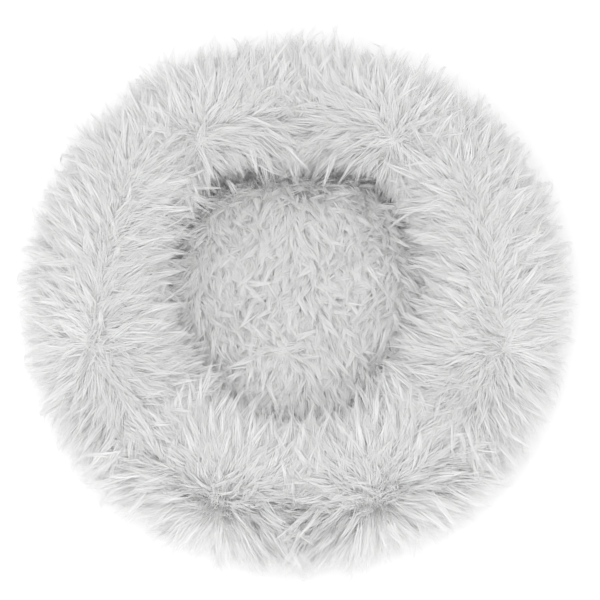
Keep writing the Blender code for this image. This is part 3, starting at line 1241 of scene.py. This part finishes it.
@dataclass
class Bolster:
    """The ring: a cloth cover over its filling, and the long fur that grows from it."""

    ring_radius: float = 0.2135
    half_width: float = 0.0545
    half_height: float = 0.0850
    middle: float = 0.0815
    upper_roundness: float = 2.3
    lower_roundness: float = 3.0
    around: int = 240
    across: int = 60
    outer_edge: float = 0.0513
    inner_edge: float = 0.0545
    whorl_places: tuple = ((0.099, 0.151), (0.227, -0.071), (0.087, -0.256))
    whorl_tails: tuple = ((0.006, 0.010), (-0.042, 0.190), (0.0, 0.010))
    whorl_reach: float = 0.028
    downhill: float = 0.8
    whorl_lean: float = 36.0
    open_lean: float = 58.0
    wall_lean: float = 5.0
    tuft_lean: float = 8.0
    edge_stand: tuple = (9.0, 12.0, 8.0)
    whorl_length: float = 0.70
    wall_trim: float = 0.10
    tuft_length: float = 0.10
    edge_length: tuple = (0.05, 0.12, 0.12, 0.30)
    edge_tufts: tuple = (2.6, 5.5)
    middle_line: float = 0.035
    backing: float = 0.0012

    def cut_shape(self) -> Skin:
        """The cover's shape before its filling presses it out."""
        first = -self.edge_angle(self.outer_edge)
        last = math.pi + self.edge_angle(self.inner_edge)
        turn = np.linspace(0, 2 * math.pi, self.around, endpoint=False)[:, None]
        angle = np.linspace(first, last, self.across)[None, :]
        roundness = np.where(np.sin(angle) >= 0, self.upper_roundness, self.lower_roundness)
        across = np.sign(np.cos(angle)) * np.abs(np.cos(angle)) ** (2 / roundness)
        upward = np.sign(np.sin(angle)) * np.abs(np.sin(angle)) ** (2 / roundness)
        wave = np.sin(5 * turn + 0.6) + 0.7 * np.sin(9 * turn + 2.1) + 0.5 * np.sin(13 * turn)
        swell = 1.0 + 0.010 * wave * np.clip(np.sin(angle) + 0.2, 0, 1)
        height = self.middle + self.half_height * upward * swell
        radius = self.ring_radius + self.half_width * across * swell
        points = np.stack([radius * np.cos(turn), radius * np.sin(turn), height], axis=-1)
        return Skin(self.settled(points))

    def settled(self, points: np.ndarray) -> np.ndarray:
        """Points of a plain ring moved to the soft outline that the used bed takes.

        Args:
            points: Points of the cover or of a layer under it.

        Returns:
            The points, moved towards or away from the bed's axis.
        """
        radius = np.linalg.norm(points[..., :2], axis=-1)
        turn = np.arctan2(points[..., 1], points[..., 0])
        side = (radius - self.ring_radius) / self.half_width
        inner = np.clip(-side, 0, 1) * smooth_step(points[..., 2], self.inner_edge, 0.095)
        outer = np.clip(side, 0, 1) * smooth_step(points[..., 2], self.outer_edge, 0.09)
        moved = radius + well_shift(turn) * inner + rim_shift(turn) * outer
        out = points.copy()
        out[..., :2] *= (moved / np.maximum(radius, 1e-9))[..., None]
        return out

    def inside(self, node: str, name: str, material: bpy.types.Material) -> bpy.types.Object:
        """A layer under the cover, moved with it.

        Args:
            node: The layer's CAD node.
            name: The new piece's name.
            material: Its finish.

        Returns:
            The object.
        """
        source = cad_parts[node]
        mesh = source.data.copy()
        mesh.name = name
        mesh.transform(source.matrix_world)
        points = np.empty(len(mesh.vertices) * 3, dtype=np.float32)
        mesh.vertices.foreach_get("co", points)
        points = self.settled(points.reshape(-1, 3))
        mesh.vertices.foreach_set("co", points.ravel())
        mesh.update()
        mesh.materials.clear()
        mesh.materials.append(material)
        return link(name, mesh)

    def edge_angle(self, height: float) -> float:
        """How far below the widest line the cover reaches a height."""
        drop = (self.middle - height) / self.half_height
        return math.asin(drop ** (self.lower_roundness / 2))

    def held_edges(self) -> np.ndarray:
        """The rows that are sewn into the seams."""
        held = np.zeros((self.around, self.across), dtype=bool)
        held[:, :2] = True
        held[:, -2:] = True
        return held

    def whorls(self, skin: Skin) -> tuple[np.ndarray, np.ndarray]:
        """The short lines on the skin that the pile parts from.

        Args:
            skin: The ring's cloth.

        Returns:
            The lines' starts and their ends.
        """
        starts = np.array([(x * side, y) for x, y in self.whorl_places for side in (1, -1)])
        tails = np.array([(x * side, y) for x, y in self.whorl_tails for side in (1, -1)])
        return self.on_skin(skin, starts), self.on_skin(skin, starts + tails)

    def on_skin(self, skin: Skin, places: np.ndarray) -> np.ndarray:
        """The points of the skin's upper half that lie over some places.

        Args:
            skin: The ring's cloth.
            places: Places on the floor, one row each.

        Returns:
            One point of the skin for each place.
        """
        spots = []
        for place in places:
            flat = skin.points.reshape(-1, 3)
            high = flat[flat[:, 2] > self.middle]
            near = np.argmin(np.linalg.norm(high[:, :2] - place, axis=1))
            spots.append(high[near])
        return np.array(spots)

    def lay(self, starts: np.ndarray, ends: np.ndarray) -> Callable:
        """How the ring's pile lies.

        Args:
            starts: Where each whorl begins.
            ends: Where it ends, in the direction that its pile is combed.

        Returns:
            A function for Pile.plant.
        """
        tails = ends - starts

        def lie(root: np.ndarray, normal: np.ndarray, across: np.ndarray) -> tuple:
            """Flow, lean and share of the full length at each root.

            Args:
                root: Where the locks stand.
                normal: The cloth's outward direction there.
                across: Their places across the cloth, from 0 to 1.

            Returns:
                The three of them.
            """
            offset = root[:, None] - starts[None]
            size = np.sum(tails**2, axis=1)
            share = np.clip(np.sum(offset * tails[None], axis=2) / size, 0.0, 1.0)
            away = offset - share[..., None] * tails[None]
            distance = np.linalg.norm(away, axis=2)
            strength = np.minimum(16.0, 1.6 / np.sqrt(size)) * np.sqrt(share)
            combed = tails[None] * strength[..., None]
            weight = 1.0 / (distance**2 + 0.0002) ** 2
            flow = away / np.maximum(distance, 1e-6)[..., None] + combed
            flow = unit((flow * weight[..., None]).sum(axis=1))
            outward = unit(root * np.array([1.0, 1.0, 0.0]))
            outward *= np.sign(np.linalg.norm(root[:, :2], axis=1) - self.ring_radius)[:, None]
            downhill = outward - np.array([0.0, 0.0, self.downhill])
            flank = 1.0 - np.clip(normal[:, 2], 0, 1)
            flow = flow + unit(downhill) * (0.2 + 0.9 * flank)[:, None]
            flow[:, 0] *= 0.3 + 0.7 * smooth_step(np.abs(root[:, 0]), 0.0, self.middle_line)
            near = smooth_step(distance.min(axis=1), 0.0, self.whorl_reach)
            wall = smooth_step(across, 0.70, 0.90)
            outer = smooth_step(normal[:, 2], -0.3, 0.0) * smooth_step(-across, -0.45, -0.30)
            tuft, fine, finest = (tufts(root, size) for size in (1.0, *self.edge_tufts))
            stand = sum(part * by for part, by in zip(self.edge_stand, (1.0, tuft, fine)))
            laid = self.whorl_lean + (self.open_lean - self.whorl_lean) * near
            lean = laid + self.wall_lean * wall + self.tuft_lean * tuft - outer * stand
            share = self.whorl_length + (1.0 - self.whorl_length) * near
            share = share - self.wall_trim * wall + self.tuft_length * tuft
            spiky = sum(part * by for part, by in zip(self.edge_length, (1.0, tuft, fine, finest)))
            share = share + outer * spiky
            return flow, np.radians(lean), share

        return lie


@dataclass
class Pad:
    """The sunken pad: its cloth and the shorter fur on it."""

    radius: float = 0.1388
    bulge: float = 0.009
    tilt: float = 0.007
    edge: float = 0.0535
    shoulder: float = 0.085
    crown: float = 0.099
    around: int = 160
    across: int = 44
    inner_share: float = 0.01
    squareness: float = 14.0
    swirl_place: tuple = (-0.015, -0.060)
    swirl_lean: float = 48.0
    flat_lean: float = 14.0
    rim_lean: float = 26.0
    tuft_lean: float = 9.0
    backing: float = 0.0012

    def cut_shape(self) -> Skin:
        """The pad's cover before its filling presses it up, from its edge to its middle."""
        turn = np.linspace(0, 2 * math.pi, self.around, endpoint=False)[:, None]
        place = np.linspace(0.0, 1.0, self.across)[None, :] ** 1.4
        share = 1.0 - (1.0 - self.inner_share) * place
        height = self.edge + (self.crown - self.edge) * np.sqrt(1 - share**self.squareness)
        height = height + (0.0012 * np.sin(3 * turn + 1.0) + self.tilt * np.sin(turn)) * share
        swell = 0.85 * well_shift(turn) + self.bulge
        swell = swell * smooth_step(height, self.edge, self.shoulder)
        radius = (self.radius + swell) * share
        points = np.stack([radius * np.cos(turn), radius * np.sin(turn), height], axis=-1)
        return Skin(points)

    def held_edges(self) -> np.ndarray:
        """The rows that are sewn into the seam."""
        held = np.zeros((self.around, self.across), dtype=bool)
        held[:, :2] = True
        return held

    def lay(self) -> Callable:
        """How the pad's pile lies: combed towards the front, with a crown near the front.

        Returns:
            A function for Pile.plant.
        """
        crown = np.array([*self.swirl_place, self.crown])

        def lie(root: np.ndarray, normal: np.ndarray, across: np.ndarray) -> tuple:
            """Flow, lean and share of the full length at each root.

            Args:
                root: Where the locks stand.
                normal: Not used.
                across: Their places across the cloth, from 0 to 1.

            Returns:
                The three of them.
            """
            away = root - crown
            distance = np.linalg.norm(away[:, :2], axis=1)
            tuft = tufts(root, 0.8)
            combed = np.array([0.0, -1.0, 0.0]) + 0.4 * np.stack(
                [np.sin(root[:, 0] * 55.0) + 1.2 * tuft, 0.0 * tuft, 0.0 * tuft], axis=1
            )
            pull = smooth_step(distance, 0.008, 0.038)[:, None]
            flow = unit(away) * (1.0 - pull) + combed * pull
            outward = unit(root * np.array([1.0, 1.0, 0.0]))
            rim = smooth_step(np.linalg.norm(root[:, :2], axis=1), 0.10, 0.135)
            side = 1.0 - 0.6 * smooth_step(root[:, 1], -0.02, 0.06)
            turned = (rim * side)[:, None]
            flow = flow * (1 - 0.6 * turned) + outward * 0.5 * turned
            flat = smooth_step(distance, 0.0, 0.03)
            lean = self.swirl_lean + self.flat_lean * flat - self.rim_lean * rim
            lean = np.radians(lean + self.tuft_lean * tuft)
            share = 0.8 + 0.2 * flat - 0.3 * smooth_step(-across, -0.25, 0.0) + 0.12 * tuft
            return flow, lean, share

        return lie


def build_fur(wardrobe: Wardrobe) -> None:
    """The ring and the pad, with their cloth and their pile.

    Args:
        wardrobe: The finishes.
    """
    test = ClothTest()
    bolster = Bolster()
    skin = bolster.cut_shape()
    skin = test.inflate(skin, bolster.held_edges())
    backing = skin.shell("bolster_backing", bolster.backing, wardrobe.backing)
    settle(backing, Slot.FUR, "bolster_cover")
    liner = bolster.inside("bolster_liner", "ring_liner_bag", wardrobe.liner)
    settle(liner, Slot.LINER, "bolster_liner")
    filling = bolster.inside("bolster_filling", "ring_fibre", wardrobe.filling)
    settle(filling, Slot.FIBRE, "bolster_filling")
    pile = Pile(
        name="bolster_pile",
        spacing=0.0049,
        fibres=12,
        length=0.036,
        width=0.0006,
        spread=0.0054,
        gather=0.40,
        curl=0.26,
        swirl=0.28,
        seed=11,
        pieces=8,
    )
    locks = pile.plant(skin, bolster.lay(*bolster.whorls(skin)))
    for piece in pile.build(locks, wardrobe.bolster_fur):
        settle(piece, Slot.FUR)

    pad = Pad()
    skin = pad.cut_shape()
    skin = ClothTest(pressure=3.0, most=0.004).inflate(skin, pad.held_edges())
    backing = skin.shell("pad_backing", pad.backing, wardrobe.backing)
    settle(backing, Slot.FUR, "pad_cover")
    pile = Pile(
        name="pad_pile",
        spacing=0.0055,
        fibres=16,
        length=0.030,
        width=0.0006,
        spread=0.0046,
        gather=0.60,
        curl=0.30,
        swirl=0.30,
        seed=23,
        pieces=2,
        droop=0.02,
    )
    locks = pile.plant(skin, pad.lay())
    for piece in pile.build(locks, wardrobe.pad_fur):
        settle(piece, Slot.FUR)


# ------------------------------------------------------------------ small solids


def add_solid(
    name: str, points: np.ndarray, faces: Sequence[np.ndarray], material: bpy.types.Material
) -> bpy.types.Object:
    """A mesh object whose faces are all turned outward.

    Args:
        name: The piece's name.
        points: Corners, one row each.
        faces: Arrays of corner numbers.
        material: The piece's finish.

    Returns:
        The object.
    """
    piece = make_object(name, points, faces, material)
    shape = bmesh.new()
    shape.from_mesh(piece.data)
    bmesh.ops.recalc_face_normals(shape, faces=shape.faces)
    shape.to_mesh(piece.data)
    shape.free()
    return piece


def rounded_section(radii: tuple, heights: tuple, corner: float, steps: int = 3) -> np.ndarray:
    """Outline of a flat bar with rounded corners.

    Args:
        radii: Its least and greatest distance from the bed's axis.
        heights: Its bottom and top.
        corner: The corners' radius.
        steps: Steps in each corner.

    Returns:
        Points with a radius and a height each.
    """
    outline = []
    for number, (across, upward) in enumerate(((1, 1), (-1, 1), (-1, -1), (1, -1))):
        centre = (radii[across > 0] - across * corner, heights[upward > 0] - upward * corner)
        for step in range(steps + 1):
            angle = math.pi / 2 * (number + step / steps)
            outline.append(
                (centre[0] + corner * math.cos(angle), centre[1] + corner * math.sin(angle))
            )
    return np.array(outline)


def arc_points(radius: np.ndarray, height: np.ndarray, angle: np.ndarray) -> np.ndarray:
    """Points at a radius, a height and an angle.

    Args:
        radius: Distances from the bed's axis.
        height: Heights above the floor.
        angle: Angles from +X.

    Returns:
        The points' x, y and z in the last axis.
    """
    return np.stack(
        [radius * np.cos(angle), radius * np.sin(angle), height + 0.0 * angle], axis=-1
    )


def arc_bar(
    name: str,
    section: np.ndarray,
    ends: tuple[float, float],
    pitch: float,
    material: bpy.types.Material,
) -> bpy.types.Object:
    """A bar swept round the bed between two angles, closed at its ends.

    Args:
        name: The piece's name.
        section: Its outline from rounded_section.
        ends: Its first and last angle in degrees.
        pitch: Degrees from one section to the next.
        material: Its finish.

    Returns:
        The object.
    """
    count = round((ends[1] - ends[0]) / pitch) + 1
    angle = np.radians(np.linspace(ends[0], ends[1], count))[:, None]
    points = arc_points(section[None, :, 0], section[None, :, 1], angle)
    return add_solid(name, points.reshape(-1, 3), tube_faces(1, count, len(section)), material)


def tube_faces(tubes: int, rings: int, sides: int) -> list[np.ndarray]:
    """Faces of closed tubes whose points are numbered tube by tube and ring by ring.

    Args:
        tubes: How many tubes there are.
        rings: Rings in each.
        sides: Points in each ring.

    Returns:
        The quads and the two end caps of each.
    """
    ring, side = np.meshgrid(np.arange(rings - 1), np.arange(sides), indexing="ij")
    ahead = (side + 1) % sides
    a, b = ring * sides + side, ring * sides + ahead
    quads = np.stack([a, b, b + sides, a + sides], axis=-1).reshape(1, -1, 4)
    start = (np.arange(tubes) * rings * sides)[:, None]
    caps = [start + np.arange(sides)[None, ::-1], start + (rings - 1) * sides + np.arange(sides)]
    return [(quads + start[:, :, None]).reshape(-1, 4), *caps]


def tubes(
    name: str,
    paths: np.ndarray,
    reference: np.ndarray,
    radius: float,
    sides: int,
    material: bpy.types.Material,
) -> bpy.types.Object:
    """Round threads or wires along several paths.

    Args:
        name: The piece's name.
        paths: Points of each path, in an array of paths by points by 3.
        reference: A direction at each point that isn't along the path.
        radius: The thread's radius.
        sides: Flat sides of the thread.
        material: Its finish.

    Returns:
        The object.
    """
    along = unit(np.gradient(paths, axis=1))
    first = unit(np.cross(along, reference))
    second = np.cross(along, first)
    turn = np.linspace(0, 2 * math.pi, sides, endpoint=False)[None, None, :, None]
    ring = first[:, :, None] * np.cos(turn) + second[:, :, None] * np.sin(turn)
    points = paths[:, :, None] + ring * radius
    count, rings = paths.shape[:2]
    return add_solid(name, points.reshape(-1, 3), tube_faces(count, rings, sides), material)


def softened_copy(
    name: str, node: str, width: float, material: bpy.types.Material
) -> bpy.types.Object:
    """A CAD part with its edges rounded.

    Args:
        name: The new piece's name.
        node: The CAD node.
        width: How far the rounding reaches from each edge.
        material: Its finish.

    Returns:
        The object.
    """
    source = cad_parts[node]
    shape = bmesh.new()
    shape.from_mesh(source.data)
    shape.transform(source.matrix_world)
    bmesh.ops.remove_doubles(shape, verts=shape.verts, dist=1e-6)
    bmesh.ops.dissolve_limit(
        shape, angle_limit=math.radians(1.0), verts=shape.verts, edges=shape.edges
    )
    sharp = [e for e in shape.edges if e.is_manifold and e.calc_face_angle() > math.radians(35)]
    bmesh.ops.bevel(
        shape, geom=sharp, offset=width, segments=3, profile=0.5, affect="EDGES", clamp_overlap=True
    )
    mesh = bpy.data.meshes.new(name)
    shape.to_mesh(mesh)
    shape.free()
    for face in mesh.polygons:
        face.use_smooth = True
    mesh.set_sharp_from_angle(angle=math.radians(40))
    mesh.materials.append(material)
    return link(name, mesh)


# ------------------------------------------------------------------ base, trim and zip


@dataclass
class BasePanel:
    """The woven base, stretched over the bottom and gathered a little up to the rim."""

    around: int = 240
    flat_rings: int = 26
    rim_rings: int = 16
    flat_radius: float = 0.2365
    lift: float = 0.0004
    thickness: float = 0.0010
    gathers: int = 96
    gather_depth: float = 0.0005
    dot_pitch: float = 0.020
    dot_radius: float = 0.0030
    dot_sides: int = 18
    dotted_radius: float = 0.228

    def profile(self) -> tuple[np.ndarray, np.ndarray]:
        """The panel's lower side, from its middle to its rim.

        Returns:
            Its radii and its heights.
        """
        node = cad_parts["base_panel"]
        corners = np.array([node.matrix_world @ v.co for v in node.data.vertices])
        radius = np.round(np.linalg.norm(corners[:, :2], axis=1), 4)
        steps = np.unique(radius[radius >= self.flat_radius - 0.0005])
        low = np.array([corners[radius == step, 2].min() for step in steps])
        run = np.concatenate([[0], np.cumsum(np.hypot(np.diff(steps), np.diff(low)))])
        place = np.linspace(0, run[-1], self.rim_rings)
        flat = np.linspace(0.0005, self.flat_radius, self.flat_rings, endpoint=False)
        outer, height = np.interp(place, run, steps), np.interp(place, run, low)
        height = np.maximum(height, self.lift)
        return np.concatenate([flat, outer]), np.concatenate([flat * 0 + self.lift, height])

    def cloth(self, material: bpy.types.Material) -> bpy.types.Object:
        """The panel itself.

        Args:
            material: Its finish.

        Returns:
            The object.
        """
        radius, height = self.profile()
        turn = np.linspace(0, 2 * math.pi, self.around, endpoint=False)[:, None]
        rise = smooth_step(height, 0.001, 0.012) * (1 - smooth_step(height, 0.028, 0.035))
        pucker = self.gather_depth * rise * np.sin(self.gathers * turn + np.sin(7 * turn))
        points = arc_points(radius[None, :] - np.abs(pucker), height[None, :], turn)
        return Skin(points).shell("woven_base", self.thickness, material)

    def dots(self, material: bpy.types.Material) -> bpy.types.Object:
        """Rows of flat grip dots that the bed stands on.

        Args:
            material: Their finish.

        Returns:
            The object.
        """
        rows = round(2 * self.dotted_radius / self.dot_pitch)
        row, column = np.meshgrid(np.arange(-rows, rows + 1), np.arange(-rows, rows + 1))
        x = (column + 0.5 * (row % 2)) * self.dot_pitch
        y = row * self.dot_pitch * math.sqrt(0.75)
        inside = np.hypot(x, y) < self.dotted_radius
        centres = np.stack([x[inside], y[inside], np.zeros(inside.sum())], axis=-1)
        turn = np.linspace(0, 2 * math.pi, self.dot_sides, endpoint=False)
        ring = np.stack([np.cos(turn), np.sin(turn), np.zeros(self.dot_sides)], axis=-1)
        levels = ((0.82, 0.0), (0.96, 0.00015), (1.0, 0.0006))
        rings = [ring * share * self.dot_radius + [0, 0, level] for share, level in levels]
        points = centres[:, None, None] + np.array(rings)[None]
        faces = tube_faces(len(centres), len(levels), self.dot_sides)
        return add_solid("grip_dots", points.reshape(-1, 3), faces, material)

    def build(self, wardrobe: Wardrobe) -> None:
        """Make the panel and its dots.

        Args:
            wardrobe: The finishes.
        """
        cloth = self.cloth(wardrobe.base)
        settle(cloth, Slot.BASE, "base_panel")
        settle(self.dots(wardrobe.vinyl), Slot.BASE)


@dataclass
class SeamTrim:
    """The binding round the rim and the rows of stitches."""

    binding_radii: tuple = (0.2678, 0.2692)
    binding_heights: tuple = (0.0354, 0.0511)
    binding_ends: tuple = (127.3, 412.7)
    stitch_pitch: float = 0.0036
    stitch_length: float = 0.0029
    stitch_lift: float = 0.0003
    thread_radius: float = 0.00022
    rings: int = 7
    rows: tuple = (
        ("rim_thread_lower", 0.2692, 0.0380, (127.3, 412.7)),
        ("rim_thread_upper", 0.2692, 0.0482, (127.3, 412.7)),
        ("zip_thread_lower", 0.2691, 0.0367, (53.0, 127.0)),
        ("zip_thread_upper", 0.2691, 0.0499, (53.0, 127.0)),
    )

    def stitches(
        self, name: str, radius: float, height: float, ends: tuple, material: bpy.types.Material
    ) -> bpy.types.Object:
        """A row of lockstitches whose ends dip into the cloth.

        Args:
            name: The row's name.
            radius: The cloth's face.
            height: The row's height.
            ends: Its first and last angle in degrees.
            material: The thread's finish.

        Returns:
            The object.
        """
        first, last = (math.radians(end) for end in ends)
        count = int((last - first) * radius / self.stitch_pitch)
        middle = first + (np.arange(count) + 0.5) / count * (last - first)
        along = np.linspace(-0.5, 0.5, self.rings)
        angle = middle[:, None] + along[None] * self.stitch_length / radius
        arch = self.stitch_lift * (1 - (2 * along) ** 4) - 0.0002
        paths = arc_points(radius + arch[None], height + 0.0 * angle, angle)
        upward = np.broadcast_to(np.array([0.0, 0.0, 1.0]), paths.shape)
        return tubes(name, paths, upward, self.thread_radius, 6, material)

    def build(self, wardrobe: Wardrobe) -> None:
        """Make the binding and every row.

        Args:
            wardrobe: The finishes.
        """
        section = rounded_section(self.binding_radii, self.binding_heights, 0.0006)
        binding = arc_bar("ribbed_binding", section, self.binding_ends, 0.75, wardrobe.tape)
        settle(binding, Slot.TAPE, "rim_binding")
        for node, radius, height, ends in self.rows:
            name = node.replace("thread", "stitches")
            row = self.stitches(name, radius, height, ends, wardrobe.thread)
            settle(row, Slot.THREAD, node)


@dataclass
class Zip:
    """The zip's tapes, coils, stops, slider and pull."""

    middle: float = 0.0433
    tape_radii: tuple = (0.2685, 0.2691)
    tape_reach: tuple = (0.0024, 0.0078)
    tape_ends: tuple = (53.0, 127.0)
    coil_ends: tuple = (54.9, 125.1)
    coil_radius: float = 0.2688
    coil_reach: float = 0.0016
    coil_pitch: float = 0.0014
    wire: float = 0.00030
    points_per_turn: int = 14

    def coil(self, side: int, material: bpy.types.Material) -> bpy.types.Object:
        """One half of the chain: a flattened coil of nylon.

        Args:
            side: 1 for the upper half and -1 for the lower.
            material: Its finish.

        Returns:
            The object.
        """
        first, last = (math.radians(end) for end in self.coil_ends)
        turns = round((last - first) * self.coil_radius / self.coil_pitch)
        share = np.linspace(0, 1, turns * self.points_per_turn + 1)
        angle = first + share * (last - first)
        phase = share * turns * 2 * math.pi + (0.0 if side > 0 else math.pi)
        radius = self.coil_radius + 0.0005 * np.cos(phase)
        height = self.middle + side * (self.coil_reach + 0.0006 * np.sin(phase))
        path = arc_points(radius, height, angle)[None]
        ahead = np.stack([-np.sin(angle), np.cos(angle), np.zeros(len(angle))], axis=-1)[None]
        name = "coil_upper" if side > 0 else "coil_lower"
        return tubes(name, path, ahead, self.wire, 6, material)

    def build(self, wardrobe: Wardrobe) -> None:
        """Make the whole zip.

        Args:
            wardrobe: The finishes.
        """
        for name, side in (("upper", 1), ("lower", -1)):
            heights = tuple(sorted(self.middle + side * reach for reach in self.tape_reach))
            section = rounded_section(self.tape_radii, heights, 0.00025)
            tape = arc_bar("tape_" + name, section, self.tape_ends, 0.5, wardrobe.zip_tape)
            settle(tape, Slot.TAPE, "zip_tape_" + name)
            settle(self.coil(side, wardrobe.nylon), Slot.NYLON, "zip_coil_" + name)
        for node, body, width in (
            ("zip_stop_closed", BODY, 0.0003),
            ("zip_stop_open", BODY, 0.0003),
            ("zip_slider", "slider", 0.00022),
            ("zip_pull", "pull", 0.00028),
        ):
            piece = softened_copy(node.replace("zip_", "rounded_"), node, width, wardrobe.metal)
            settle(piece, Slot.METAL, node, body=body)


@dataclass
class CareLabel:
    """A blank satin loop label, sewn in at its top and folded at its foot."""

    angle: float = 143.0
    radius: float = 0.2707
    top: float = 0.0495
    width: float = 0.022
    length: float = 0.034
    half_gap: float = 0.00028
    thickness: float = 0.00018
    across: int = 14
    along: int = 34

    def build(self, wardrobe: Wardrobe) -> None:
        """Make the label.

        Args:
            wardrobe: The finishes.
        """
        share = np.linspace(-1.0, 1.0, self.along)[None, :]
        side = np.linspace(-0.5, 0.5, self.across)[:, None]
        fold = np.sqrt(np.clip(1 - (np.abs(share) / 0.02 - 1).clip(-1, 0) ** 2, 0, 1))
        depth = np.abs(share)
        height = self.top - self.length * (1 - depth)
        curl = 0.0016 * (1 - depth) ** 2 * (0.6 + 0.8 * side)
        radius = self.radius + self.half_gap * np.sign(share) * fold + curl
        centre = math.radians(self.angle)
        outward = np.array([math.cos(centre), math.sin(centre), 0.0])
        sideways = np.array([-math.sin(centre), math.cos(centre), 0.0])
        radius, height = np.broadcast_arrays(radius, height + 0.0 * side)
        middle = radius[..., None] * outward + (side * self.width)[..., None] * sideways
        middle = middle + height[..., None] * np.array([0.0, 0.0, 1.0])
        label = make_object(
            "folded_label",
            middle.reshape(-1, 3),
            [grid_faces(self.across, self.along, closed=False)],
            wardrobe.label,
        )
        thicken = label.modifiers.new("thickness", "SOLIDIFY")
        thicken.thickness = self.thickness
        thicken.offset = 0.0
        settle(label, Slot.LABEL, "care_label")


# ------------------------------------------------------------------ studio


@dataclass
class Studio:
    """Pale floor, soft light and the camera."""

    elevation: float = 75.0
    distance: float = 2.6
    frame_width: float = 0.663
    aim: Point = (0.003, -0.0015, 0.09)
    sensor: float = 36.0
    floor_half: float = 4.0
    floor_glow: float = 0.22
    surround: float = 0.79
    lamps: tuple = (((-0.15, -0.9, 3.0), 1.4, 28.0), ((0.0, -2.4, 1.1), 1.6, 4.5))

    def build(self) -> None:
        """Make everything that isn't the object."""
        self.floor()
        self.lights()
        self.camera()

    def floor(self) -> None:
        """A plain pale floor at the height that the bed stands on."""
        half = self.floor_half
        corners = np.array(
            [[-half, -half, 0], [half, -half, 0], [half, half, 0], [-half, half, 0]], float
        )
        dress = Dresser("floor", 0.9)
        dress.colour(opaque((0.95, 0.95, 0.95)))
        dress.put(Emission_Color=WHITE, Emission_Strength=self.floor_glow)
        floor = make_object("floor", corners, [np.array([[0, 1, 2, 3]])], dress.material)
        floor.location.z = -0.0002

    def lights(self) -> None:
        """An even white surround, a large soft lamp behind the camera and a low one in front."""
        world = bpy.data.worlds.new("surround")
        world.use_nodes = True
        back = world.node_tree.nodes["Background"]
        back.inputs["Color"].default_value = WHITE
        back.inputs["Strength"].default_value = self.surround
        bpy.context.scene.world = world
        for place, size, power in self.lamps:
            lamp = bpy.data.lights.new("soft_box", "AREA")
            lamp.shape = "DISK"
            lamp.size = size
            lamp.energy = power
            made = link("soft_box", lamp)
            made.location = place
            made.rotation_euler = (-made.location).to_track_quat("-Z", "Y").to_euler()

    def camera(self) -> None:
        """A long lens, high above the front."""
        rise = math.radians(self.elevation)
        away = Vector((0.0, -math.cos(rise), math.sin(rise)))
        aim = Vector(self.aim)
        lens = bpy.data.cameras.new("camera")
        lens.sensor_width = self.sensor
        lens.lens = self.sensor * self.distance / self.frame_width
        camera = link("camera", lens)
        camera.location = aim + away * self.distance
        camera.rotation_euler = (-away).to_track_quat("-Z", "Y").to_euler()
        bpy.context.scene.camera = camera
        scene = bpy.context.scene
        scene.view_settings.view_transform = "Standard"
        scene.view_settings.look = "None"


def dress_inside(wardrobe: Wardrobe) -> None:
    """Finishes of the CAD nodes that stay as they are.

    Args:
        wardrobe: The finishes.
    """
    for name, material in (
        ("pad_filling", wardrobe.filling),
        ("pad_liner", wardrobe.liner),
        ("inner_seam_tape", wardrobe.tape),
    ):
        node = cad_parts[name]
        for place in node.material_slots:
            place.material = material


def main() -> None:
    """Build the looks in order."""
    logging.basicConfig(level=logging.INFO, format="%(name)s %(message)s")
    Studio().build()
    wardrobe = Wardrobe()
    build_fur(wardrobe)
    BasePanel().build(wardrobe)
    SeamTrim().build(wardrobe)
    Zip().build(wardrobe)
    CareLabel().build(wardrobe)
    dress_inside(wardrobe)


if __name__ == "__main__":
    main()
